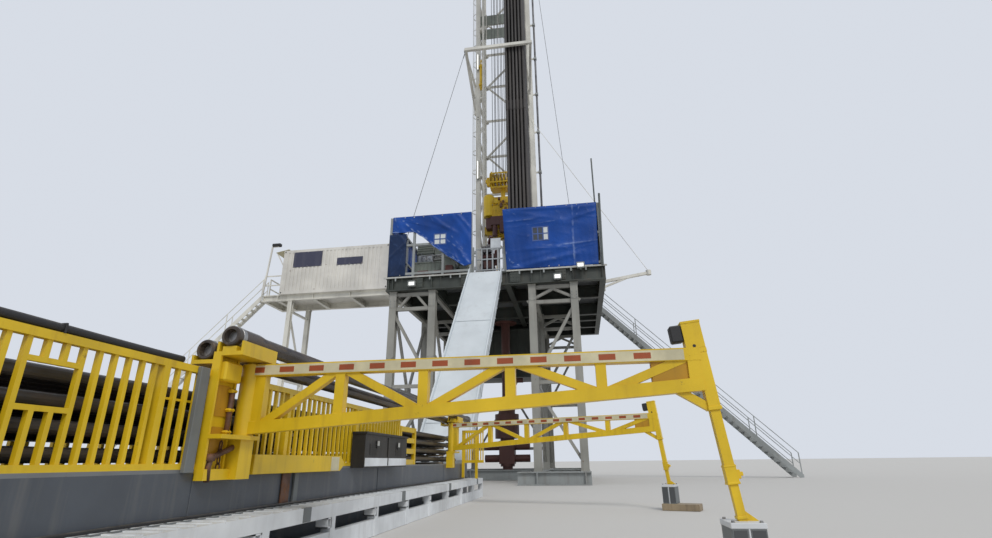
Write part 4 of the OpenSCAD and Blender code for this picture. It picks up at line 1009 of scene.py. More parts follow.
@dataclass
class Windwalls:
    """The tarpaulins round the drill floor and what is fixed to their frame."""

    left: float = -2.138
    right: float = 2.438
    front: float = -3.03
    back: float = 1.98
    door_left: float = -0.3
    door_right: float = 0.425
    strip: float = 0.385
    tear: Tuple[Pair, ...] = (
        (0, 5.15), (0.5, 5.145), (0.56, 5.12), (0.725, 5.01), (0.985, 4.775), (1.307, 4.53))
    lamp_centres: Tuple[Point, ...] = ((-1.56, -3.1, 3.93), (1.49, -3.1, 3.9), (1.96, -3.17, 4.09))

    def sheets(self) -> List[Tarp]:
        """Returns every sheet of the walls."""
        f, b = self.front, self.back
        edge = (*self.tear, (1.62, 4.31), (1.7, 4.28), (1.838, 4.32))
        folds_left = (
            (0.243, 5.435, 0.541, 5.133, 1.0), (0.361, 5.5, 0.695, 5.27, 0.5),
            (0.786, 5.0, 0.989, 4.83, 0.9), (1.26, 4.93, 1.77, 4.49, 1.0), (1.375, 5.0, 1.69, 4.61, 0.7),
            (1.52, 5.5, 1.83, 5.14, 0.5), (1.05, 4.76, 1.62, 4.36, 0.6), (0.05, 5.5, 0.16, 5.2, 0.5),
            (1.66, 4.5, 1.8, 4.36, 0.8), (0.56, 5.2, 0.72, 5.06, 0.9))
        folds_right = (
            (0.125, 4.304, 0.289, 4.214, 1.0), (0.0, 4.55, 0.12, 4.266, 0.9), (0.6, 4.715, 1.36, 4.532, 0.3),
            (0.915, 4.347, 1.416, 4.254, 0.3), (1.117, 5.485, 1.32, 5.096, 0.45),
            (1.588, 5.278, 1.657, 5.48, 0.6), (1.75, 5.5, 1.85, 5.3, 0.5), (0.1, 5.5, 0.3, 5.36, 0.4),
            (1.47, 4.95, 1.5, 4.3, 0.4), (1.52, 4.5, 1.78, 4.42, 0.4), (0.2, 4.9, 0.55, 4.86, 0.25))
        return [
            Tarp(
                "front_strip", (self.left, f), (self.left + self.strip + 0.01, f), 11, None,
                finish=Coat.TARP_DARK, high=5.12, billow=0.01, tied=False,
                creases=(
                    (0.03, 5.0, 0.3, 4.72, 0.8), (0.1, 4.9, 0.33, 4.62, 0.5), (0.02, 4.6, 0.36, 4.75, 0.4),
                    (0.08, 4.5, 0.1, 4.2, 0.4))),
            Tarp(
                "front_sheet_left", (self.left, f), (self.door_left, f), 12, "tarp_front_left", out=0.0045,
                window=Window(0.985, 1.255, 4.82, 5.065), edge=edge, creases=folds_left, knee=4.82,
                slant=(2.0, 2.8), pulls=(0.06, 0.06, 0.0, 0.0)),
            Tarp(
                "front_sheet_right", (self.door_right, f), (self.right, f), 13, "tarp_front_right",
                window=Window(0.625, 0.965, 4.75, 5.055, 3), seams=(1.5,), creases=folds_right,
                slant=(-0.3, 0.35), pulls=(0.02, -0.05, -0.11, -0.06)),
            Tarp(
                "side_sheet_left", (self.left + 0.008, b), (self.left + 0.008, f), 14, "tarp_side_left",
                gaps=((b + 0.36, b + 0.86),), seams=(1.0, 3.9)),
            Tarp(
                "side_sheet_right", (self.right - 0.008, f), (self.right - 0.008, b), 15, "tarp_side_right",
                gaps=((0.12 - f, 0.62 - f),), seams=(1.1, 4.2)),
            Tarp("back_sheet", (self.right, b), (self.left, b), 16, "tarp_back", seams=(1.5, 3.05))]

    def rope_hem(self) -> Piece:
        """Makes the rolled hem down the sloping edge of the opening.

        Formula: a round section swept along the sheet's lower edge, lifted by its radius.

        Returns:
            The roll.
        """
        t = np.linspace(0, 1, 60)
        marks = [0, 0.27, 0.3, 0.4, 0.55, 0.75, 1]
        along, height = np.array([*self.tear, (1.68, 4.285)]).T
        x = self.left + 0.06 * (1 - t) + np.interp(t, marks, along)
        wave = 0.006 * np.sin(t * 31) + 0.004 * np.sin(t * 67)
        path = coords(x, self.front - 0.014, np.interp(t, marks, height) + 0.012 + wave)
        hem = swept(path, round_section(0.011, 10))
        hem.uv = hem.verts[:, [0, 2]]
        hem.fold = np.full(len(hem.verts), 0.75)
        return put("front_hem_roll", hem, Coat.TARP, smooth=True)

    def lamps(self) -> None:
        """Makes the flood lamps on the floor's front edge, with brackets and lit lenses."""
        centres = np.array(self.lamp_centres)
        box = blocks(centres - [0.075, 0.03, 0.055], (0.15, 0.06, 0.11))
        fins = blocks(
            centres[:, None] + coords(np.linspace(-0.066, 0.06, 7), 0.03, -0.05), (0.006, 0.022, 0.1))
        level, upright = (0.16, 0.014, 0.012), (0.012, 0.014, 0.12)
        edges = (
            (-0.08, -0.06, level), (-0.08, 0.048, level), (-0.08, -0.06, upright), (0.068, -0.06, upright))
        rim = [blocks(centres + [x, -0.042, z], size) for x, z, size in edges]
        feet = [[-1.56, -3.05, 3.95], [1.49, -3.05, 3.93], [1.96, -3.05, 4.05]]
        arm = bars(centres + [0, 0.03, 0], feet, 0.03, 0.03)
        put("flood_lamps", join(box, fins, *rim, arm), Coat.GREY, bevel=0.002)
        put("flood_lenses", blocks(centres + [-0.058, -0.034, -0.036], (0.116, 0.006, 0.072)), Coat.LENS)

    def door_items(self) -> None:
        """Makes the pale plate and the dark pipe spinner that stand behind the gate."""
        put("door_plate", boxes((0.09, -2.9, 4.66, 0.22, 0.012, 0.27)), Coat.TAPE, bevel=0.002)
        put(
            "door_plate_post", blocks(coords((0.12, 0.26), -2.888, FLOOR_TOP), (0.03, 0.03, 0.76)), Coat.GREY
        )
        base = boxes(
            (-0.3, -1.95, FLOOR_TOP, 0.36, 0.4, 0.08), (-0.2, -1.86, 4.2, 0.15, 0.2, 0.44),
            (-0.24, -1.9, 4.62, 0.24, 0.28, 0.2), (-0.28, -1.96, 4.86, 0.32, 0.34, 0.1))
        arm = bars(
            [[-0.13, -1.76, 4.7], [-0.13, -1.76, 5.3], [0.02, -1.7, 4.75]],
            [[-0.13, -1.72, 5.36], [-0.05, -1.9, 5.42], [0.04, -1.8, 5.1]], 0.07, 0.09)
        put("spinner_body", join(base, arm), Coat.SPINNER, bevel=0.008)
        rolls = turned(
            [(0, 0), (0.055, 0), (0.06, 0.01), (0.06, 0.15), (0.04, 0.16)],
            [[-0.21, -1.98, 4.97], [-0.07, -1.98, 4.97], [-0.12, -1.86, 5.06]], Axis.Z, 20)
        tubes = turned(
            [(0.02, 0), (0.02, 0.5)], [[0.03, -1.9, FLOOR_TOP], [-0.02, -1.93, 4.6], [-0.27, -1.76, 4.5]],
            Axis.Z, 12)
        put("spinner_rolls", join(rolls, tubes), Coat.CAST, bevel=0.002)

    def floor_gear(self) -> None:
        """Makes the tank, pumps, pipes, cabinets, drums and panel behind the left opening."""
        tank = boxes(
            (-1.64, -2.72, 4.155, 0.6, 0.34, 0.37), (-1.0, -2.8, 4.155, 0.3, 0.4, 0.47),
            (-1.66, -2.74, 4.52, 0.64, 0.38, 0.03), (-0.62, -2.74, 4.155, 0.2, 0.3, 0.25))
        ribs = blocks(coords(np.linspace(-1.6, -1.1, 7), -2.735, 4.2), (0.02, 0.016, 0.28))
        skid = blocks(coords(-1.7, (-2.82, -2.44), FLOOR_TOP), (1.35, 0.08, 0.03))
        put("floor_tank", join(tank, ribs, skid), Coat.GEAR, bevel=0.005)
        pump = join(
            turned(
                [(0, 0), (0.06, 0), (0.065, 0.01), (0.065, 0.22), (0.05, 0.24), (0, 0.24)],
                [[-1.52, -2.84, 4.24], [-1.15, -2.86, 4.22]], Axis.X, 20),
            turned(
                [(0, 0), (0.05, 0), (0.05, 0.16), (0.02, 0.18)], [[-0.84, -2.66, 4.63], [-0.52, -2.6, 4.41]],
                Axis.Z, 16),
            boxes(
                (-1.56, -2.9, 4.155, 0.36, 0.13, 0.05), (-0.98, -2.92, 4.155, 0.3, 0.14, 0.08),
                (-0.9, -2.9, 4.16, 0.16, 0.12, 0.22)))
        put("floor_pumps", pump, Coat.SPINNER, bevel=0.002)
        ways = (
            [
                [-1.5, -2.6, 4.55], [-1.5, -2.6, 4.74], [-1.3, -2.6, 4.76], [-1.1, -2.62, 4.7],
                [-1.0, -2.62, 4.64]],
            [
                [-1.2, -2.78, 4.5], [-1.22, -2.8, 4.66], [-0.95, -2.84, 4.66], [-0.7, -2.8, 4.5],
                [-0.66, -2.78, 4.4]])
        wheels = turned(
            [(0.035, 0), (0.042, 0.004), (0.042, 0.01), (0.035, 0.012)],
            [[-1.36, -2.78, 4.62], [-0.92, -2.83, 4.7]], Axis.Y, 16)
        stems = bars(
            [[-1.36, -2.774, 4.6], [-0.92, -2.824, 4.62], [-1.56, -2.5, 4.5]],
            [[-1.36, -2.774, 4.66], [-0.92, -2.824, 4.74], [-1.56, -2.5, 4.86]], 0.012, 0.012)
        put(
            "floor_pipes", join(*[swept(way, round_section(0.014, 10)) for way in ways], wheels, stems),
            Coat.BARE)
        tall = boxes(
            (-1.68, -2.43, 4.155, 0.38, 0.1, 0.93), (-1.28, -2.42, 4.155, 0.28, 0.1, 0.86),
            (-0.98, -2.43, 4.155, 0.26, 0.1, 0.72), (-0.7, -2.42, 4.155, 0.3, 0.1, 0.48),
            (-1.7, -2.45, 4.86, 0.42, 0.12, 0.03), (-1.02, -2.46, 4.7, 0.34, 0.13, 0.03))
        slats = blocks(coords(-1.66, -2.44, np.linspace(4.62, 5.04, 9)), (0.34, 0.012, 0.012))
        put("floor_cabinets", join(tall, slats), Coat.GEAR, bevel=0.004)
        drums = turned(
            [
                (0, 0), (0.07, 0), (0.075, 0.01), (0.07, 0.06), (0.07, 0.1), (0.075, 0.15), (0.07, 0.16),
                (0, 0.165)],
            [[-0.87, -2.6, 4.41], [-0.55, -2.52, 4.53]], Axis.Z, 18)
        bags = boxes(
            (-1.24, -2.62, 4.625, 0.24, 0.14, 0.045), (-1.22, -2.6, 4.67, 0.2, 0.12, 0.04),
            (-0.8, -2.62, 4.41, 0.12, 0.12, 0.07))
        put("floor_drums", join(drums, bags), Coat.LIGHT, bevel=0.006)
        panel = boxes((-1.64, -2.46, 4.56, 0.34, 0.04, 0.26))
        gauges = turned(
            [(0, 0), (0.035, 0), (0.035, 0.02), (0.03, 0.024), (0, 0.024)],
            [[-1.55 + 0.085 * k, -2.485, 4.72] for k in range(3)], Axis.Y, 16)
        put("floor_panel", join(panel, gauges), Coat.WALK, bevel=0.003)

    def deck_rim(self) -> None:
        """Makes the pale angle on the floor's front edge, its brackets and the corner pole."""
        spans = ((self.left - 0.06, self.door_left - 0.02), (self.door_right + 0.02, self.right + 0.05))
        rim = boxes(*[(a, -3.075, 4.085, b - a, 0.014, 0.032) for a, b in spans])
        put("deck_rim", rim, Coat.LIGHT, bevel=0.002)
        x = (-1.95, -1.2, -0.75, -0.55, 0.7, 0.95, 1.2, 1.75, 2.05)
        pole = swept(coords((2.404, 2.426, 2.448), -3.1, (4.1, 4.9, 5.7)), round_section(0.022, 12))
        put("corner_rail_pole", pole, Coat.DARK)
        put("deck_rim_brackets", blocks(coords(x, -3.072, 4.02), (0.03, 0.012, 0.07)), Coat.GREY)

    def build(self) -> None:
        """Hangs every sheet, then adds the hem, the lamps, the floor's gear and its rim."""
        for tarp in self.sheets():
            tarp.hang([self.rope_hem()] if tarp.name == "front_sheet_left" else ())
        self.lamps()
        self.door_items()
        self.floor_gear()
        self.deck_rim()


# Substructure


@dataclass
class Substructure:
    """The floor's edge and the towers: splice plates, ribs, gussets and bolts."""

    left: float = -2.15
    right: float = 2.45
    front: float = -3.05
    under: float = 3.815
    columns_x: Row = (-2.0, -1.15, 0.95, 1.8)
    columns_front: float = -2.9

    def edge_plates(self) -> None:
        """Makes the splice plates, their bolts and the ribs along the floor's front beam."""
        x = np.array([-1.45, -0.4, 0.62, 1.55])
        low = coords(x - 0.11, self.front - 0.008, self.under + 0.04)
        put("edge_splices", blocks(low, (0.22, 0.01, 0.21)), Coat.FLOOR, bevel=0.001)
        spots = mesh_grid((-0.085, -0.03, 0.03, 0.085), (0.0,), (0.075, 0.145, 0.215))
        at = coords(x, self.front - 0.008, self.under)[:, None] + spots[None]
        put("edge_bolts", bolts(at, Axis.Y, 0.022, flip=True), Coat.FLOOR)
        ribs = np.array(
            [v for v in np.arange(self.left + 0.35, self.right - 0.2, 0.42) if np.min(np.abs(x - v)) > 0.15])
        lows = coords(ribs, self.front - 0.004, self.under + 0.02)
        put("edge_ribs", blocks(lows, (0.012, 0.006, 0.25)), Coat.FLOOR)

    def tower_plates(self) -> None:
        """Makes the gussets on the towers' columns where their braces meet."""
        at = mesh_grid(self.columns_x, (self.columns_front - 0.073,), (1.0, 2.35, 3.55))
        put("tower_gussets", blocks(at - [0.07, 0.008, 0.09], (0.14, 0.01, 0.18)), Coat.TOWER, bevel=0.001)
        spots = mesh_grid((-0.045, 0.045), (0.0,), (-0.06, 0.0, 0.06))
        put(
            "tower_bolts", bolts(at[:, None] - [0, 0.008, 0] + spots[None], Axis.Y, 0.02, flip=True),
            Coat.GREY)

    def build(self) -> None:
        """Makes everything on the substructure."""
        self.edge_plates()
        self.tower_plates()


# Cabin


@dataclass
class Cabin:
    """The side cabin: corner castings, bare panels, canopy, landing lamp and door gear."""

    left: float = -5.7
    right: float = -2.8
    front: float = -1.25
    back: float = -0.1
    low: float = 4.5
    high: float = 5.71

    def castings(self) -> None:
        """Makes the eight corner castings and the holes of the front ones."""
        s = 0.09
        corner = mesh_grid(
            (self.left - 0.004, self.right - s + 0.004), (self.front - 0.004, self.back - s + 0.004),
            (self.low + 0.001, self.high - s + 0.004))
        put("cabin_castings", blocks(corner, (s, s, s)), Coat.HOUSE, bevel=0.006)
        slots = [
            (x, self.front - 0.006, z)
            for x in (self.left + 0.041, self.right - 0.041) for z in (self.low + 0.046, self.high - 0.041)]
        put("cabin_casting_holes", turned([(0.018, -0.002), (0.018, 0.0015)], slots, Axis.Y, 16), Coat.BLACK)

    def panels(self) -> None:
        """Makes the two bare navy panels on the front wall and their rivets."""
        places = ((-5.41, -4.62, 5.22, 5.64), (-4.2, -3.5, 5.21, 5.41))
        sheets = boxes(*[(a, self.front - 0.006, c, b - a, 0.007, d - c) for a, b, c, d in places])
        put("cabin_panels", sheets, Coat.NAVY, bevel=0.001)
        corners = [
            (x, self.front - 0.006, z)
            for a, b, c, d in places for x in (a + 0.02, (a + b) / 2, b - 0.02) for z in (c + 0.02, d - 0.02)
        ]
        put(
            "cabin_panel_rivets", turned([(0.006, -0.003), (0.006, 0)], corners, Axis.Y, 8), Coat.HOUSE,
            smooth=True)

    def canopy(self) -> None:
        """Makes the tan sun canopy with its struts, and the landing's post and lamp.

        Formula: the sheet is a grid whose height falls with distance from the wall.
        """
        u, v = np.meshgrid(np.linspace(0, 1, 14), np.linspace(0, 1, 20))
        x = self.left + 0.12 - 0.36 * u
        y = self.front + 1.12 * v
        z = 5.745 - 0.07 * u - 0.008 * np.abs(np.sin(v * np.pi * 4)) * u
        put("canopy", grid(coords(x, y, z)), Coat.TAN, thick=0.01, smooth=True)
        y = [self.front + 0.03, self.back - 0.1]
        strut = bars(coords(self.left, y, 5.3), coords(self.left - 0.22, y, 5.665), 0.022, 0.022)
        put("canopy_struts", strut, Coat.HOUSE)
        post = bars([-6.144, self.front - 0.02, 4.52], [-6.05, self.front - 0.02, 5.84], 0.036, 0.036)
        put(
            "landing_post", join(post, boxes((-6.07, self.front - 0.03, 5.83, 0.2, 0.03, 0.02))), Coat.HOUSE,
            bevel=0.003)
        put(
            "landing_lamp",
            boxes(
                (-6.05, self.front - 0.06, 5.85, 0.23, 0.1, 0.07),
                (-6.04, self.front - 0.05, 5.84, 0.21, 0.08, 0.012)),
            Coat.BLACK, bevel=0.006)

    def doors(self) -> None:
        """Makes the door's hinges, and the end window's frame and glass."""
        hinge = [(self.left - 0.012, -0.885, z) for z in (4.68, 5.05, 5.42)]
        put("cabin_hinges", turned([(0.011, 0), (0.011, 0.08)], hinge, Axis.Z, 12), Coat.HOUSE, smooth=True)
        y0, y1, z0, z1 = -0.95, -0.4, 4.92, 5.4
        x = self.right - 0.03
        rim = join(
            blocks(coords(x, y0 - 0.03, (z0 - 0.03, z1)), (0.042, y1 - y0 + 0.06, 0.03)),
            blocks([[x, y0 - 0.03, z0], [x, y1, z0]], (0.042, 0.03, z1 - z0)),
            boxes((x + 0.005, (y0 + y1) / 2 - 0.012, z0, 0.024, 0.024, z1 - z0)))
        put("cabin_window_frame", rim, Coat.HOUSE, bevel=0.002)
        put("cabin_window_glass", boxes((x + 0.012, y0, z0, 0.006, y1 - y0, z1 - z0)), Coat.GLASS)

    def roof(self) -> None:
        """Makes the roof's cross ribs."""
        x = np.arange(self.left + 0.2, self.right - 0.15, 0.24)
        lows = coords(x, self.front + 0.06, self.high - 0.002)
        put("cabin_roof_ribs", blocks(lows, (0.09, self.back - self.front - 0.12, 0.01)), Coat.HOUSE)

    def build(self) -> None:
        """Makes everything on the cabin."""
        self.castings()
        self.panels()
        self.canopy()
        self.doors()
        self.roof()


# Mast and hoist


@dataclass
class Mast:
    """The lattice mast: gussets, splices, ladder, cables, risers, boards, belly rail, lamps."""

    leg_x: float = 0.735
    front: float = 0.115
    back: float = 1.185
    foot: float = FLOOR_TOP
    bay: float = 1.353125
    bays: int = 16
    leg: float = 0.13

    def levels(self) -> Array:
        """Returns the heights of the lattice joints."""
        return self.foot + self.bay * np.arange(1, self.bays)

    def gussets(self) -> None:
        """Makes the pointed plates where lacing meets the legs, on the sides and the back."""
        out, thick = self.leg / 2, 0.008
        z = self.levels()
        front = [(-0.065, -0.16), (0.13, -0.05), (0.13, 0.05), (-0.065, 0.16)]
        rear = [(-0.13, -0.05), (0.065, -0.16), (0.065, 0.16), (-0.13, 0.05)]
        inward = [(-0.13, -0.065), (0.13, -0.065), (0.05, 0.14), (-0.05, 0.14)]
        outward = [(-0.13, 0.065), (-0.05, -0.14), (0.05, -0.14), (0.13, 0.065)]
        shapes = []
        for x in (-(self.leg_x + out) - thick, self.leg_x + out):
            shapes += [
                slab(o, mesh_grid((x,), (y,), z), Axis.X, thick)
                for o, y in ((front, self.front), (rear, self.back))]
        for x, outline in ((-self.leg_x, inward), (self.leg_x, outward)):
            shapes.append(slab(outline, mesh_grid((x,), (self.back + out,), z), Axis.Y, thick))
        put("mast_gussets", join(*shapes), Coat.CREAM)

    def splices(self) -> None:
        """Makes the pinned splices of the mast's sections, with their pins."""
        z = self.foot + self.bay * np.array([0.5, 4.5, 8.5, 12.5])
        at = mesh_grid((-self.leg_x, self.leg_x), (self.front, self.back), z)
        put("mast_splices", blocks(at - [0.069, 0.069, 0.09], (0.138, 0.138, 0.18)), Coat.CREAM, bevel=0.004)
        pins = mesh_grid((-self.leg_x, self.leg_x), (self.front - 0.085, self.back - 0.085), z)
        pins = np.vstack([pins + [0, 0, -0.045], pins + [0, 0, 0.045]])
        put(
            "mast_pins", turned([(0.016, 0), (0.02, 0.004), (0.02, 0.166), (0.016, 0.17)], pins, Axis.Y, 12),
            Coat.BARE, smooth=True)

    def ladder(self) -> None:
        """Makes the caged ladder up the mast's left side."""
        x = -self.leg_x - self.leg / 2 - 0.03
        y = np.array([0.62, 0.82])
        low, high = self.foot + 0.02, 25.6
        rails = bars(coords(x, y, low), coords(x, y, high), 0.02, 0.03)
        z = np.arange(low + 0.15, high, 0.15)
        rungs = bars(coords(x, y[0], z), coords(x, y[1], z), 0.012, 0.012)
        levels = np.arange(low + 1.2, high, 0.68)
        angle = np.linspace(math.radians(100), math.radians(260), 9)
        ring = coords(x - 0.04 + 0.16 * np.cos(angle), 0.72 + 0.16 * np.sin(angle), 0.0)
        hoop = ring[None] + levels[:, None, None] * [0, 0, 1]
        hoops = bars(hoop[:, :-1], hoop[:, 1:], 0.006, 0.025)
        strips = bars(ring[::2] + [0, 0, levels[0]], ring[::2] + [0, 0, levels[-1]], 0.006, 0.02)
        ends = mesh_grid((x,), y, self.levels())
        clips = bars(ends, ends + [0.04, 0, 0], 0.02, 0.02)
        put("mast_ladder", join(rails, rungs, hoops, strips, clips), Coat.CREAM)

    def cables(self) -> None:
        """Makes the fixed bundle of dark cables clipped in the tray.

        Formula: each cable is a round section swept up the tray, swaying by a small sine.
        """
        rng = np.random.default_rng(5)
        z = np.linspace(self.foot + 0.3, 16.2, 60)
        shapes = []
        for k in range(7):
            y = 0.635 + 0.027 * k
            sway = 0.004 * np.sin(z * rng.uniform(1.2, 2.4) + rng.uniform(0, 6))
            path = coords(0.8 + 0.037 + 0.003 * (k % 2) + 0.3 * sway, y + sway, z)
            shapes.append(swept(path, round_section(rng.uniform(0.009, 0.014), 8)))
        put("tray_cables", join(*shapes), Coat.RUBBER, smooth=True)
        lows = coords(0.822, 0.608, np.arange(self.foot + 0.6, 16.1, 0.45))
        put("tray_clips", blocks(lows, (0.036, 0.214, 0.02)), Coat.DARK)

    def boards(self) -> None:
        """Makes the dark boards between the mast's front legs."""
        box = blocks(coords(-0.67, self.front + 0.03, (13.33, 13.9)), (1.34, 0.03, 0.4))
        straps = blocks([[x, self.front + 0.018, 13.31] for x in (-0.5, -0.12, 0.3)], (0.035, 0.012, 1.02))
        put("mast_dark_board", box, Coat.GEAR, bevel=0.004)
        put("mast_board_straps", straps, Coat.CREAM)

    def belly_rail(self) -> None:
        """Makes the rail that keeps the stands in, its arms and its yellow cylinder."""
        y, z, left, right = -2.36, 10.63, -0.613, 1.096
        rail = bars([left - 0.035, y, z], [right + 0.035, y, z], 0.07, 0.09)
        arms = bars([[left, y, z], [right, y, z]], [[-0.77, -0.5, z], [0.9, -0.45, z]], 0.06, 0.08)
        links = bars([[left, y, z], [right, y, z]], coords((-0.82, 0.82), -1.46, 11.36), 0.045, 0.045)
        feet = boxes((-0.81, -0.53, z - 0.08, 0.08, 0.1, 0.16), (0.76, -0.48, z - 0.08, 0.16, 0.1, 0.16))
        put("belly_rail", join(rail, arms, links, feet), Coat.CREAM, bevel=0.006)
        tube = turned(
            [
                (0, 0), (0.03, 0), (0.03, 0.06), (0.045, 0.07), (0.045, 0.95), (0.03, 0.97), (0.018, 0.98),
                (0.018, 1.15), (0, 1.15)],
            [-0.64, self.front - 0.08, 11.25], Axis.Z, 20)
        clamps = blocks(coords(-0.7, self.front - 0.14, (11.4, 12.1)), (0.12, 0.14, 0.05))
        put("belly_cylinder", join(tube, clamps), Coat.MACHINE, bevel=0.002)

    def risers(self) -> None:
        """Makes the pale duct and the dark riser up the mast's right side, with their clamps."""
        low, high = self.foot + 0.02, 15.6
        duct = boxes(
            (0.806, 0.07, low, 0.15, 0.07, high - low), (0.818, 0.054, low, 0.126, 0.018, high - low))
        z = self.levels()
        z = z[z < high - 0.1]
        arms = blocks(coords(0.8, 0.1, z), (0.24, 0.03, 0.05))
        put("mast_duct", join(duct, arms), Coat.CREAM, bevel=0.003)
        path = coords(1.07, 0.115, np.linspace(low, high - 0.5, 30))
        bend = np.array([[1.05, 0.115, high - 0.38], [0.99, 0.115, high - 0.3], [0.9, 0.115, high - 0.27]])
        put("mast_riser", swept(np.vstack([path, bend]), round_section(0.03, 14)), Coat.CAST, smooth=True)
        at = coords(1.025, 0.07, z - 0.01)
        put("mast_riser_clamps", blocks(at, (0.09, 0.09, 0.07)), Coat.GREY, bevel=0.003)

    def lamps(self) -> None:
        """Makes the lamps on the mast's legs."""
        at = mesh_grid((-0.735, 0.735), (self.front - 0.085,), np.array([8.4, 12.3, 19.6]))
        tube = blocks(at - [0.025, 0.035, 0.32], (0.05, 0.035, 0.64))
        arm = blocks(np.vstack([at - [0.01, 0.0, 0.25], at - [0.01, 0.0, -0.2]]), (0.02, 0.035, 0.03))
        put("mast_lamp_bodies", join(tube, arm), Coat.GREY, bevel=0.002)
        put(
            "mast_lamp_tubes",
            turned(
                [(0.012, -0.29), (0.018, -0.28), (0.018, 0.28), (0.012, 0.29)], at - [0, 0.045, 0], Axis.Z,
                12),
            Coat.LENS, smooth=True)

    def build(self) -> None:
        """Makes everything on the mast."""
        self.gussets()
        self.splices()
        self.ladder()
        self.cables()
        self.risers()
        self.boards()
        self.belly_rail()
        self.lamps()


@dataclass
class Hoist:
    """Block, top drive and lines: the parts that travel in the mast."""

    top: float = 26.075
    block_sheave: float = 7.95
    line_y: float = 0.2383
    pitch: float = 0.1
    lines: int = 6

    def ropes(self) -> None:
        """Makes the drill lines between the crown and the block, on no body.

        Formula: each line is a round section swept from the block's sheaves to the crown's.
        """
        x = (np.arange(self.lines) - (self.lines - 1) / 2) * self.pitch
        z = np.linspace(self.block_sheave, self.top, 26)
        shapes = []
        for sign in (-1, 1):
            for place in x:
                shapes.append(swept(coords(place, sign * self.line_y, z), round_section(0.0085, 10)))
        lines = put("hoist_lines", join(*shapes), Coat.ROPE, None, smooth=True)
        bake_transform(lines)
        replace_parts(lines, "drill_lines")

    def motor(self) -> None:
        """Makes the top drive's covers, blowers, bolts, cylinder, pipe handler, valves and collar."""
        y = -0.33
        faces = blocks(coords((-0.27, 0.02), y - 0.018, 6.52), (0.25, 0.02, 0.4))
        ribs_x = np.concatenate([np.linspace(-0.25, -0.05, 6), np.linspace(0.04, 0.24, 6)])
        ribs = blocks(coords(ribs_x, y - 0.03, 6.55), (0.012, 0.014, 0.34))
        lids = boxes((-0.3, y - 0.02, 7.03, 0.6, 0.56, 0.03), (-0.3, y - 0.02, 6.455, 0.6, 0.56, 0.03))
        put("drive_covers", join(faces, ribs, lids), Coat.MACHINE, Body.HOIST, bevel=0.004)
        blower = join(
            turned(
                [(0, 0), (0.09, 0), (0.09, 0.16), (0.105, 0.165), (0.105, 0.19), (0.05, 0.2)],
                coords((-0.15, 0.15), -0.17, 7.055), Axis.Z, 24),
            turned(
                [(0.05, -0.06), (0.07, -0.05), (0.07, 0), (0.05, 0.01)],
                coords((-0.15, 0.15), y - 0.03, 7.12), Axis.Y, 20))
        put("drive_blowers", blower, Coat.MACHINE, Body.HOIST, bevel=0.002)
        spots = mesh_grid((-0.26, -0.13, 0.0, 0.13, 0.26), (y - 0.02,), (6.472, 7.045))
        put("drive_bolts", bolts(spots, Axis.Y, 0.024, flip=True), Coat.BARE, Body.HOIST)
        cylinder = turned(
            [(0, 0), (0.14, 0), (0.15, 0.01), (0.15, 0.62), (0.11, 0.66), (0, 0.66)], [-0.37, -0.235, 6.72],
            Axis.Z, 32)
        put("drive_cylinder", cylinder, Coat.YELLOW, Body.HOIST, bevel=0.004)
        dark = join(
            boxes(
                (-0.31, -0.372, 6.43, 0.62, 0.05, 0.26), (-0.45, -0.3, 6.36, 0.16, 0.3, 0.32),
                (0.12, -0.36, 6.2, 0.16, 0.12, 0.26)),
            turned(
                [(0, 0), (0.07, 0), (0.07, 0.3), (0.05, 0.33), (0, 0.33)],
                [[-0.2, -0.3, 6.12], [0.0, -0.34, 6.2]], Axis.Z, 16))
        put("drive_handler", dark, Coat.SPINNER, Body.HOIST, bevel=0.004)
        knots = boxes(
            (-0.05, -0.386, 6.95, 0.07, 0.05, 0.12), (0.08, -0.39, 6.86, 0.06, 0.06, 0.08),
            (0.17, -0.386, 6.98, 0.05, 0.05, 0.16), (0.02, -0.39, 7.1, 0.1, 0.06, 0.05),
            (0.2, -0.38, 7.14, 0.06, 0.08, 0.1), (-0.1, -0.386, 7.18, 0.06, 0.06, 0.07))
        put("drive_valves", knots, Coat.RUST, Body.HOIST, bevel=0.003)
        collar = turned([(0.132, 0), (0.16, 0.004), (0.16, 0.06), (0.132, 0.066)], [0, 0, 6.18], Axis.Z, 40)
        ears = blocks(coords((-0.235, 0.155), -0.05, 6.2), (0.08, 0.1, 0.16))
        put("drive_collar", join(collar, ears), Coat.MACHINE, Body.HOIST, bevel=0.003)

    def block(self) -> None:
        """Makes the travelling block's cheek plates, hood, ears and bolts."""
        z = self.block_sheave
        cheeks = slab(round_section(0.27, 24), [[-0.352, 0, z], [0.333, 0, z]], Axis.X, 0.02)
        face = boxes((-0.33, -0.185, 7.665, 0.66, 0.016, 0.05))
        hood = boxes((-0.31, -0.27, z - 0.16, 0.62, 0.02, 0.04), (-0.31, -0.27, z + 0.12, 0.62, 0.02, 0.04))
        sides = boxes(
            (-0.335, -0.27, z - 0.16, 0.024, 0.54, 0.04), (0.311, -0.27, z - 0.16, 0.024, 0.54, 0.04))
        wings = boxes(
            (-0.46, -0.06, z - 0.13, 0.107, 0.12, 0.26), (0.353, -0.06, z - 0.13, 0.107, 0.12, 0.26),
            (-0.5, -0.05, z - 0.02, 0.06, 0.1, 0.1), (0.44, -0.05, z - 0.02, 0.06, 0.1, 0.1))
        put("block_cheeks", join(cheeks, face, hood, sides, wings), Coat.MACHINE, Body.HOIST, bevel=0.003)
        y, up = round_section(0.2, 8).T
        at = coords(0.353, y, z + up)
        heads = join(bolts(at, Axis.X, 0.03), bolts(at * [-1, 1, 1], Axis.X, 0.03, flip=True))
        put("block_bolts", heads, Coat.BARE, Body.HOIST)

    def build(self) -> None:
        """Makes everything on the hoist."""
        self.ropes()
        self.motor()
        self.block()


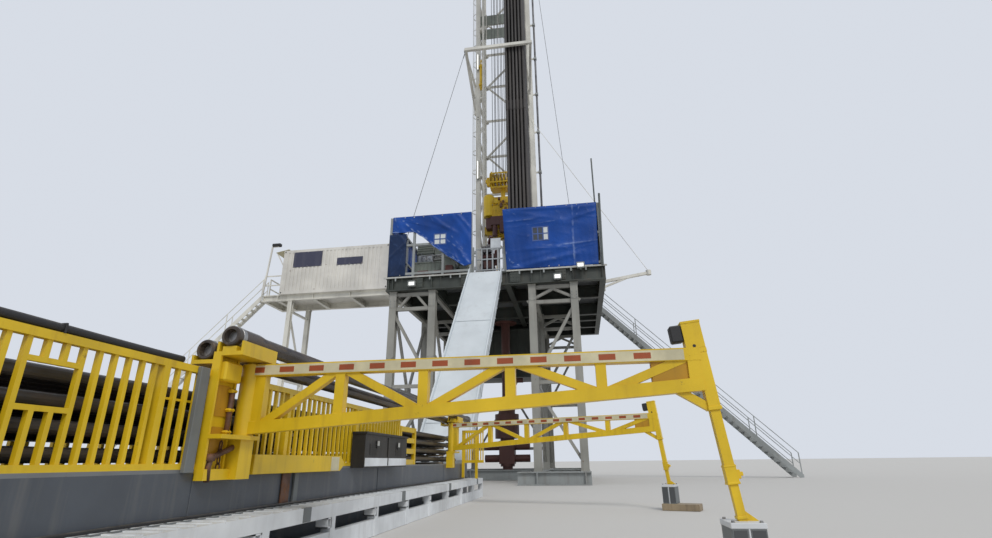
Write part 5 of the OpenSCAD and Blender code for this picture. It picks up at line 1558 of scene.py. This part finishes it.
@dataclass
class PipeStands:
    """The racked stands, with tool joints at thirds of their height."""

    x0: float = 0.44
    y0: float = -2.26
    pitch: float = 0.088
    cols: int = 6
    rows: int = 9
    floor: float = FLOOR_TOP
    height: float = 14.0
    radius: float = 0.032
    joint: float = 0.042

    def build(self) -> None:
        """Makes every stand.

        Formula: a profile of radii along Z turned at each place of a grid: box end,
        body, and a thicker joint at each third, with tapers of 12 mm between.
        """
        rng = np.random.default_rng(9)
        h = self.height
        r, j = self.radius, self.joint - 0.001
        profile: List[Pair] = [(j - 0.006, 0.0), (j, 0.008), (j, 0.16), (r, 0.2)]
        for third in (1, 2):
            z = third * h / 3
            profile += [(r, z - 0.15), (j, z - 0.12), (j, z + 0.14), (r, z + 0.17)]
        profile += [(r, h - 0.16), (j, h - 0.13), (j, h - 0.008), (j - 0.006, h)]
        places = mesh_grid(
            self.x0 + self.pitch * np.arange(self.cols), self.y0 + self.pitch * np.arange(self.rows),
            (self.floor,))
        lift = rng.uniform(0.0, 0.012, len(places))
        places = places + lift[:, None] * [0, 0, 1]
        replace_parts(put("pipe_stands", turned(profile, places, Axis.Z, 12), Coat.PIPE), "racked_pipe")


# Catwalk and arms


@dataclass
class Catwalk:
    """The catwalk, its guards and what hangs on them."""

    start: float = -14.15
    end: float = -6.35
    half: float = 0.325
    deck: float = 0.385
    guard_end: float = -9.0
    top: float = 0.755
    walk: float = 0.215
    walk_out: float = 0.525

    def guard_gear(self) -> None:
        """Makes the right guard's black tube and clips, the grey post and the ties."""
        y = np.linspace(self.start + 0.05, -11.5, 40)
        path = coords(self.half - 0.012, y, self.top + 0.014 + 0.002 * np.sin(y * 5))
        put("guard_tube", swept(path, round_section(0.013, 12)), Coat.RUBBER, smooth=True)
        lows = coords(self.half - 0.03, np.arange(self.start + 0.3, -11.6, 0.62), self.top)
        put("guard_tube_clips", blocks(lows, (0.034, 0.007, 0.029)), Coat.RUBBER, bevel=0.001)
        put(
            "guard_post",
            boxes(
                (self.half + 0.0005, -11.425, self.deck - 0.012, 0.018, 0.05, self.top - self.deck + 0.01)),
            Coat.FOOT, bevel=0.002)
        y = np.arange(-11.57, self.guard_end - 0.1, 0.62)
        ties = blocks(coords(self.half - 0.024, y, self.deck + 0.235), (0.006, 0.24, 0.008))
        put("guard_ties", ties, Coat.YELLOW)

    def side_rail(self) -> None:
        """Makes the yellow box along the deck's edge, its patch, bracket and strut."""
        outline = [(0, 0), (0.86, 0), (0.91, 0.03), (0.91, 0.05), (0.86, 0.08), (0, 0.08)]
        flip = [(-11.05 + a, self.deck - 0.025 + b) for a, b in outline]
        put("deck_edge_box", slab(flip, [self.half + 0.001, 0, 0], Axis.X, 0.05), Coat.YELLOW, bevel=0.002)
        put(
            "deck_edge_patch", boxes((self.half + 0.0505, -10.31, self.deck - 0.022, 0.0015, 0.1, 0.072)),
            Coat.TAPE_PALE)
        put(
            "deck_edge_bracket", boxes((self.half + 0.001, -10.73, 0.2, 0.008, 0.075, 0.16)), Coat.RUST,
            bevel=0.002)
        put(
            "deck_edge_strut", boxes((self.half + 0.001, -10.62, 0.2, 0.012, 0.04, 0.16)), Coat.FOOT,
            bevel=0.002)

    def deck_gear(self) -> None:
        """Makes the deck's plate seams and the skid's weld beads."""
        lows = coords(-self.half + 0.04, np.arange(self.start + 0.6, self.end - 0.3, 1.2), self.deck)
        strips = blocks(lows, (0.22, 0.012, 0.003))
        other = blocks(lows + [self.half + 0.03, 0, 0], (0.22, 0.012, 0.003))
        put("deck_seams", join(strips, other), Coat.SKID)
        low = coords(self.half, np.arange(self.start + 0.9, self.end - 0.1, 1.9), 0.22)
        put("skid_welds", blocks(low, (0.0025, 0.007, 0.15)), Coat.SKID)

    def walkway(self) -> None:
        """Makes the walkway's treads, cable, edge strip, splices and tube ends."""
        y = np.arange(self.start + 0.05, self.end - 0.03, 0.075)
        lows = coords(self.half + 0.014, y, self.walk)
        put("walkway_treads", blocks(lows, (self.walk_out - self.half - 0.028, 0.012, 0.004)), Coat.WALK)
        y = np.linspace(self.start + 0.02, self.end - 0.03, 80)
        hose = coords(
            self.half + 0.03 + 0.006 * np.sin(y * 2.3) + 0.004 * np.sin(y * 7.1), y, self.walk + 0.009)
        put("walkway_cable", swept(hose, round_section(0.006, 8)), Coat.RUBBER, smooth=True)
        strip = boxes(
            (self.half + 0.055, self.start + 0.02, self.walk, 0.008, self.end - self.start - 0.05, 0.005))
        put("walkway_strip", strip, Coat.FOOT)
        low = coords(self.walk_out - 0.012, np.arange(-13.6, self.end, 1.37), self.walk - 0.058)
        put("walkway_splices", blocks(low, (0.0145, 0.07, 0.0595)), Coat.FOOT, bevel=0.001)
        ends = np.arange(-13.66, self.end, 0.61)
        rim = np.array([(0, 0, 0), (0, 0, 0.04), (0, 0, 0), (0, 0.04, 0)])
        size = np.array(
            [(0.06, 0.046, 0.006), (0.06, 0.046, 0.006), (0.06, 0.006, 0.046), (0.06, 0.006, 0.046)])
        base = coords(self.walk_out - 0.06, ends, 0.108)
        put("walkway_tube_ends", blocks(base[:, None] + rim, np.tile(size, (len(ends), 1))), Coat.WALK)

    def deck_pipes(self) -> None:
        """Makes the capped pipes stacked on the deck on timber battens.

        Formula: a profile of body, joint and end turned about Y at each place of a grid
        of columns and layers, whose layers are shifted by seeded amounts.
        """
        rng = np.random.default_rng(21)
        r, count, layers = 0.028, 7, 4
        x = (np.arange(count) - (count - 1) / 2) * 0.078
        base = self.deck + 0.02
        places = np.array(
            [
                (
                    xx + rng.normal(0, 0.003), self.start + 0.12 + rng.uniform(0, 0.12),
                    base + r + layer * (2 * r + 0.018))
                for layer in range(layers) for xx in x])
        n = 7.1
        profile = [
            (r - 0.011, 0.1), (r - 0.011, 0.0), (r, 0.003), (r, 0.17), (r - 0.007, 0.2),
            (r - 0.007, n - 0.2), (r, n - 0.17), (r, n - 0.05), (r - 0.009, n - 0.05), (r - 0.012, n)]
        put("deck_pipes", turned(profile, places, Axis.Y, 16), Coat.PIPE_DECK)
        y = np.array([-13.8, -12.2, -10.6, -9.0, -7.4])
        battens = mesh_grid((-0.27,), y, base - 0.02 + np.arange(layers) * (2 * r + 0.018))
        put("deck_battens", blocks(battens, (0.54, 0.06, 0.018)), Coat.WOOD)
        caps = turned(
            [(0, 0), (r + 0.001, 0.0), (r + 0.001, 0.05), (r - 0.002, 0.052)],
            places[::2] + [0, n - 0.052, 0], Axis.Y, 16)
        put("deck_pipe_caps", caps, Coat.RED)

    def cabinet(self) -> None:
        """Makes a grey stripe of painted sheen low on the cabinet, its latches and vents."""
        x, y0, z0 = self.half + 0.088, -9.93, 0.377
        # Painted sheen: a pale grey stripe low on the black cabinet stands in for its reflection.
        put("cabinet_sheen_stripe", boxes((x, y0 + 0.01, z0 + 0.004, 0.003, 0.82, 0.05)), Coat.WALK)
        latch = blocks(coords(x + 0.0085, (y0 + 0.19, y0 + 0.61), z0 + 0.13), (0.004, 0.03, 0.03))
        put("cabinet_latches", latch, Coat.LIGHT)
        vents = blocks(
            [(x, y0 + 0.08 + 0.5 * (k // 6), z0 + 0.075 + 0.012 * (k % 6)) for k in range(12)],
            (0.004, 0.14, 0.005))
        put("cabinet_vents", vents, Coat.BLACK)

    def build(self) -> None:
        """Makes everything on the catwalk."""
        self.guard_gear()
        self.side_rail()
        self.deck_gear()
        self.walkway()
        self.deck_pipes()
        self.cabinet()


@dataclass
class PipeArm:
    """One hinged arm with its leg and its hinge: tape, plates, lever, collars, feet.

    Its shapes are made with the hinge pin at the origin and the arm along +X.
    """

    name: str
    y: float
    reach: float
    arm: Body
    leg: Body
    side: int
    turn: float = 0.0
    pin_x: float = 0.37
    top: float = 0.8
    tip_low: float = 0.64
    tube: float = 0.048
    sleeve: float = 0.043
    cap: float = 0.071
    lean: float = 5.9
    foot_z: float = 0.2
    panels: int = 5

    def placed(self, shape: Surface, turn: float) -> Surface:
        """Turns a shape about the pin and sets it at the hinge.

        Formula: x' = x cos t - y sin t, y' = x sin t + y cos t, then moved to the pin.

        Args:
            shape: A shape made with the pin at the origin and the arm along +X.
            turn: The angle in degrees.

        Returns:
            The shape in the rig's own frame.
        """
        c, n = math.cos(math.radians(turn)), math.sin(math.radians(turn))
        matrix = np.array([[c, n, 0], [-n, c, 0], [0, 0, 1]])
        return Surface(shape.verts @ matrix + [self.pin_x, self.y, 0.0], shape.quads, shape.tris)

    def on_arm(
        self, part: str, shape: Surface, finish: Finish, body: Optional[Body] = None, **how: object
    ) -> None:
        """Puts a piece that turns with the arm, on the arm's body or another."""
        put(f"{self.name}_{part}", self.placed(shape, self.turn), finish, body or self.arm, **how)

    def on_post(self, part: str, shape: Surface, finish: Finish, **how: object) -> None:
        """Puts a piece that stays on the hinge post."""
        put(f"{self.name}_{part}", self.placed(shape, 0.0), finish, **how)

    def leaning(self, shape: Surface) -> Surface:
        """Leans a shape, made about the sleeve's centre at the arm's top, as the leg does.

        Formula: x' = x cos a - z sin a, z' = x sin a + z cos a, then moved to the sleeve.
        """
        c, n = math.cos(math.radians(self.lean)), math.sin(math.radians(self.lean))
        matrix = np.array([[c, 0, n], [0, 1, 0], [-n, 0, c]])
        return Surface(
            shape.verts @ matrix + [self.reach + self.sleeve / 2, 0.0, self.top], shape.quads, shape.tris)

    def tape(self) -> None:
        """Makes the pale tape on the top chord's two faces and its red blocks."""
        half, low = self.tube / 2, self.top - self.tube
        x0, x1 = 0.02, self.reach - 0.04
        size = (x1 - x0, 0.0014, self.tube - 0.008)
        self.on_arm(
            "tape", blocks(coords(x0, (-half - 0.0012, half - 0.0002), low + 0.003), size), Coat.TAPE_PALE)
        x = np.arange(0.01, x1 - 0.07, 0.1325)
        marks = np.concatenate([coords(x, y, low + 0.012) for y in (-half - 0.0018, half + 0.0004)])
        self.on_arm("tape_blocks", blocks(marks, (0.064, 0.0014, 0.023)), Coat.TAPE_RED)

    def plates(self) -> None:
        """Makes the tip's plate, the sleeve's collars, stop block and hole, and the weld beads."""
        r, w = self.reach, self.sleeve / 2
        left, wide = w - self.cap, 2 * w
        # The tip plate takes the shaded copy of the yellow: painted shade.
        self.on_arm(
            "tip_plate", boxes((r - 0.165, -0.015, self.tip_low + 0.03, 0.14, 0.03, 0.1)), Coat.SHADED_YELLOW,
            bevel=0.002)
        rims = boxes(
            (-w - 0.003, -w - 0.003, -0.232, wide + 0.006, wide + 0.006, 0.014),
            (left - 0.0015, -w - 0.003, 0.097, self.cap + 0.003, wide + 0.006, 0.01),
            (-w - 0.0015, -w - 0.0015, -0.02, wide + 0.003, wide + 0.003, 0.018))
        self.on_arm("sleeve_rims", self.leaning(rims), Coat.YELLOW, bevel=0.0015)
        stop = boxes((left - 0.046, -0.022, 0.03, 0.045, 0.044, 0.066))
        self.on_arm("stop_block", self.leaning(stop), Coat.RUBBER, bevel=0.005)
        hole = turned([(0.006, -0.0012), (0.006, 0.0006)], [left + 0.031, -w - 0.001, 0.008], Axis.Y, 12)
        self.on_arm("sleeve_holes", self.leaning(hole), Coat.BLACK)
        share = np.arange(0, self.panels)
        x = 0.06 + (r - 0.06) * share / self.panels - 0.022
        low = 0.54 + (self.tip_low - 0.51 - 0.01) * share / self.panels
        spots = np.vstack(
            [coords(x, -0.0215, low + 0.022), coords(x[1:], -0.0215, self.top - self.tube - 0.005)])
        self.on_arm("welds", blocks(spots, (0.044, 0.043, 0.006)), Coat.YELLOW, bevel=0.002)

    def leg_gear(self) -> None:
        """Makes the leg's clamp, the covers, bolts and painted-shade openings of its foot, and the sleeper's
        timber.
        """
        drop = self.foot_z - self.top
        x = self.reach + self.sleeve / 2 - drop * math.tan(math.radians(self.lean))
        c = 0.0197
        bands = boxes(
            (-c - 0.002, -c - 0.002, -0.486, 2 * c + 0.004, 2 * c + 0.004, 0.008),
            (-c - 0.0015, -c - 0.0015, -0.429, 2 * c + 0.003, 2 * c + 0.003, 0.006),
            (-0.018, -0.018, drop + 0.004, 0.036, 0.036, 0.01), (c, -0.012, -0.47, 0.012, 0.024, 0.03),
            (c + 0.012, -0.006, -0.462, 0.01, 0.012, 0.014))
        self.on_arm("leg_bands", self.leaning(bands), Coat.YELLOW, self.leg, bevel=0.0015)
        covers = blocks(coords((x - 0.055, x + 0.0035), -0.073, 0.051), (0.0515, 0.146, 0.138))
        self.on_arm("foot_covers", covers, Coat.FOOT, self.leg, bevel=0.0014)
        plate = boxes(
            (x - 0.0575, -0.0755, 0.183, 0.115, 0.151, 0.018),
            (x - 0.0032, -0.0737, 0.051, 0.0064, 0.1474, 0.138))
        self.on_arm("foot_plate", plate, Coat.WALK, self.leg, bevel=0.002)
        # Painted shade: thin dark plates where the foot's openings lie in shade.
        dark = [[x + a, y, 0.06] for y in (-0.0745, 0.0715) for a in (-0.05, 0.0085)]
        self.on_arm("foot_opening_shade", blocks(dark, (0.0415, 0.003, 0.118)), Coat.FOOT_DARK, self.leg)
        timber = boxes((x - 0.0675, -0.0815, 0.0, 0.303, 0.163, 0.0505))
        self.on_arm("foot_timber", timber, Coat.WOOD, self.leg, bevel=0.0017)
        spots = mesh_grid((x - 0.045, x + 0.045), (-0.06, 0.06), (0.201,))
        self.on_arm("foot_bolts", bolts(spots, Axis.Z, 0.012), Coat.BARE, self.leg)
        gusset = slab([(0, 0), (0.03, 0), (0, 0.04)], [x + 0.0145, -0.004, 0.201], Axis.Y, 0.008)
        self.on_arm("foot_gusset", gusset, Coat.YELLOW, self.leg)

    def spot(self, x: float, y: float, z: float) -> List[float]:
        """Returns a point of the hinge about its pin, mirrored to the arm's own side."""
        return [x - self.pin_x, self.side * y, z]

    def hinge(self) -> None:
        """Makes the hinge post's latch, lever, chain, clips, and thin plates of painted shade in its
        channel.

        Formula: the chain's loops are rings (r cos a, r' sin a), every second one turned
        square to the last.
        """
        s, at = self.side, self.spot
        bent = (
            (0.36, -0.04, 0.494), (0.362, 0.08, 0.452), (0.362, 0.165, 0.426), (0.36, 0.172, 0.39),
            (0.358, 0.165, 0.34))
        straight = ((0.352, 0.085, 0.5), (0.352, 0.084, 0.6), (0.352, 0.083, 0.69))
        lever = [swept([at(*spot) for spot in way], round_section(0.011, 10)) for way in (bent, straight)]
        knob = turned(
            [(0, 0), (0.018, 0.004), (0.02, 0.02), (0.012, 0.03)], at(0.36, 0.168, 0.41), Axis.Z, 14)
        self.on_post("lever", join(*lever, knob), Coat.RUST, smooth=True)
        x = 0.337 - self.pin_x
        latch = boxes((x, 0.075 if s > 0 else -0.185, 0.712, 0.042, 0.11, 0.078))
        clips = blocks([[x, s * 0.084 - 0.02, z] for z in (0.515, 0.6, 0.675)], (0.03, 0.04, 0.014))
        self.on_post("latch", join(latch, clips), Coat.YELLOW, bevel=0.007)
        # Painted shade: thin plates of shaded yellow make the channel's inner faces darker.
        shade_plates = blocks([[0.3372 - self.pin_x, s * 0.12 - 0.04, z] for z in (0.42, 0.58)], (0.004, 0.08, 0.12))
        self.on_post("hinge_shade_plates", shade_plates, Coat.SHADED_YELLOW, bevel=0.001)
        angle = np.linspace(0, 2 * np.pi, 9)
        wide, none = 0.008 * np.cos(angle), np.zeros(9)
        loops = []
        for n in range(5):
            across, aside = (none, wide) if n % 2 == 0 else (wide, none)
            height = 0.472 - 0.027 * n + 0.017 * np.sin(angle)
            ring = coords(0.352 - self.pin_x + across, s * 0.105 + aside, height)
            loops.append(bars(ring[:-1], ring[1:], 0.004, 0.004))
        self.on_post("chain", join(*loops), Coat.RUST)

    def build(self) -> None:
        """Makes everything on this arm."""
        self.tape()
        self.plates()
        self.leg_gear()
        self.hinge()


@dataclass
class LoosePipes:
    """The two drill pipes that lie on the cradles."""

    starts: Tuple[Point, ...] = ((0.283, -11.35, 0.836), (0.39, -11.358, 0.886))
    length: float = 4.77
    radius: float = 0.041
    bore: float = 0.026

    def build(self) -> None:
        """Makes both pipes.

        Formula: a hollow profile turned about Y: bore, box end, joint, taper, body.
        """
        r, b, n = self.radius, self.bore, self.length
        slim = r * 0.84
        profile = [
            (b, 0.12), (b, 0.006), (b + 0.002, 0.0), (r - 0.004, 0.0), (r, 0.005), (r, 0.17), (slim, 0.22),
            (slim, n - 0.2), (r, n - 0.16), (r, n - 0.07), (r - 0.012, n - 0.07), (r - 0.018, n)]
        pipes = put("loose_pipes", turned(profile, self.starts, Axis.Y, 32), Coat.PIPE_NEAR)
        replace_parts(pipes, "rack_pipes")
        bands = turned(
            [(r, 0.03), (r + 0.0015, 0.031), (r + 0.0015, 0.052), (r, 0.053)], self.starts, Axis.Y, 32)
        put("loose_pipe_bands", bands, Coat.BARE)


@dataclass
class Ramp:
    """The sloping ramp: cross seams and side ribs."""

    head: Pair = (-3.05, 4.12)
    foot: Pair = (-6.43, 0.425)
    half: float = 0.328

    def build(self) -> None:
        """Makes the raised seams across the plate and the ribs on the side flanges.

        Formula: P(t) = head + t (foot - head), stood off along the slope's normal.
        """
        head, way = np.array([0, *self.head]), np.array([0, *self.foot]) - np.array([0, *self.head])
        normal = np.cross(unit(way), [1, 0, 0])
        normal = normal if normal[2] > 0 else -normal
        mid = head + np.array([0.37, 0.62, 0.87])[:, None] * way + normal * 0.0015
        ends = np.array([self.half, 0, 0])
        put("ramp_seams", bars(mid - ends, mid + ends, 0.02, 0.004), Coat.RAMP)
        mid = head + np.linspace(0.05, 0.95, 14)[:, None] * way - normal * 0.06
        ribs = [
            bars(mid + [x, 0, 0] - normal * 0.06, mid + [x, 0, 0] + normal * 0.12, 0.014, 0.008)
            for x in (-0.353, 0.353)]
        put("ramp_ribs", join(*ribs), Coat.RAMP)


@dataclass
class Stays:
    """The turnbuckles and end fittings of the stays."""

    lines: Tuple[Tuple[Point, Point], ...] = (
        ((-0.83, -1.47, 11.38), (-2.02, -2.9, 4.165)), ((1.115, -0.445, 16.7), (2.1, 1.5, 4.165)))

    def build(self) -> None:
        """Makes a turnbuckle and two sockets on each stay.

        Formula: each is a bar from a + d p to a + d q, where d is the unit way from the
        end a towards the other end.
        """
        shapes = []
        for high, low in self.lines:
            a, b = np.array(low), np.array(high)
            way = unit(b - a)
            for end, p, q, wide in ((a, 0.25, 0.6, 0.03), (a, 0.05, 0.2, 0.022), (b, -0.25, -0.08, 0.022)):
                shapes.append(bars(end + way * p, end + way * q, wide, wide))
        put("stay_turnbuckles", join(*shapes), Coat.BARE, bevel=0.003)


# Stage


@dataclass
class Stage:
    """The floor that takes the shadow, the light and the camera of the photograph."""

    eye: Point = (1.75, -13.25, 0.4)
    pitch: float = 20.05
    yaw: float = 8.5
    roll: float = -0.65
    lens: float = 19.16
    sun: float = 1.3
    sky: float = 0.62
    sky_light: Colour = (0.86, 0.92, 1.0)
    sky_seen: Colour = (0.68, 0.72, 0.79)
    ground: Colour = (0.62, 0.6, 0.57)
    size: float = 400.0

    def floor(self) -> None:
        """Makes the pale floor."""
        mesh = bpy.data.meshes.new("stage_floor")
        corners = [(x * self.size, y * self.size, -0.002) for x, y in ((-1, -1), (1, -1), (1, 1), (-1, 1))]
        mesh.from_pydata(corners, [], [(0, 1, 2, 3)])
        mesh.materials.append(Plain("stage", "stage_floor_finish", self.ground).material())
        obj = bpy.data.objects.new("stage_floor", mesh)
        bpy.context.scene.collection.objects.link(obj)

    def world(self) -> None:
        """Sets an even overcast sky, pale to the camera and in mirrors."""
        world = bpy.data.worlds.new("overcast")
        bpy.context.scene.world = world
        world.use_nodes = True
        world.node_tree.nodes.clear()
        g = Graph(world.node_tree)
        ray = g.node("ShaderNodeLightPath").outputs
        plain = g.sum("MAXIMUM", ray["Is Camera Ray"], ray["Is Transmission Ray"])
        plain = g.sum("MAXIMUM", plain, ray["Is Glossy Ray"])
        light = g.node("ShaderNodeBackground", {"Color": self.sky_light, "Strength": self.sky})
        seen = g.node("ShaderNodeBackground", {"Color": self.sky_seen, "Strength": 1.0})
        mixed = g.node("ShaderNodeMixShader", {0: plain, 1: light.outputs[0], 2: seen.outputs[0]})
        g.node("ShaderNodeOutputWorld", {0: mixed.outputs[0]})

    def lamp(self) -> None:
        """Makes the soft sun from the front right."""
        data = bpy.data.lights.new("sun", "SUN")
        data.energy = self.sun
        data.angle = math.radians(20)
        data.color = (1.0, 0.97, 0.92)
        obj = bpy.data.objects.new("sun", data)
        obj.rotation_euler = Vector((-0.35, 0.62, -0.72)).to_track_quat("-Z", "Y").to_euler()
        bpy.context.scene.collection.objects.link(obj)

    def camera(self) -> None:
        """Makes the camera at the photograph's place and turn.

        Formula: the view looks along (-sin p cos t, cos p cos t, sin t) for yaw p and
        pitch t, and its two other axes are rolled about that by r.
        """
        t, p, r = map(math.radians, (self.pitch, self.yaw, self.roll))
        fwd = Vector((-math.sin(p) * math.cos(t), math.cos(p) * math.cos(t), math.sin(t)))
        right = Vector((math.cos(p), math.sin(p), 0))
        up = right.cross(fwd)
        across = right * math.cos(r) + up * math.sin(r)
        over = up * math.cos(r) - right * math.sin(r)
        data = bpy.data.cameras.new("photo_camera")
        data.lens, data.sensor_width, data.clip_end = self.lens, 36.0, 2000.0
        obj = bpy.data.objects.new("photo_camera", data)
        obj.matrix_world = Matrix((*zip(across, over, -fwd, self.eye), (0, 0, 0, 1)))
        bpy.context.scene.collection.objects.link(obj)
        bpy.context.scene.camera = obj

    def build(self) -> None:
        """Makes the floor, the sky, the sun and the camera."""
        bpy.context.scene.view_settings.view_transform = "Standard"
        self.floor()
        self.world()
        self.lamp()
        self.camera()


def main() -> None:
    """Dresses the frame, builds every assembly and sets the stage."""
    logging.basicConfig(level=logging.INFO)
    slots = {part["node"]: part["material_slot"] for part in frame["record"]["subparts"]}
    dress_nodes(frame["nodes"], slots)
    near = PipeArm("near_arm", -11.15, 1.826, Body.NEAR_ARM, Body.NEAR_LEG, -1)
    far = PipeArm("far_arm", -7.4, 2.165, Body.FAR_ARM, Body.FAR_LEG, 1, turn=-20.0)
    rig = (Substructure(), Windwalls(), Cabin(), Mast(), Hoist(), PipeStands(), Catwalk(), near, far)
    for assembly in (*rig, LoosePipes(), Ramp(), Stays(), Stage()):
        assembly.build()


if __name__ == "__main__":
    main()
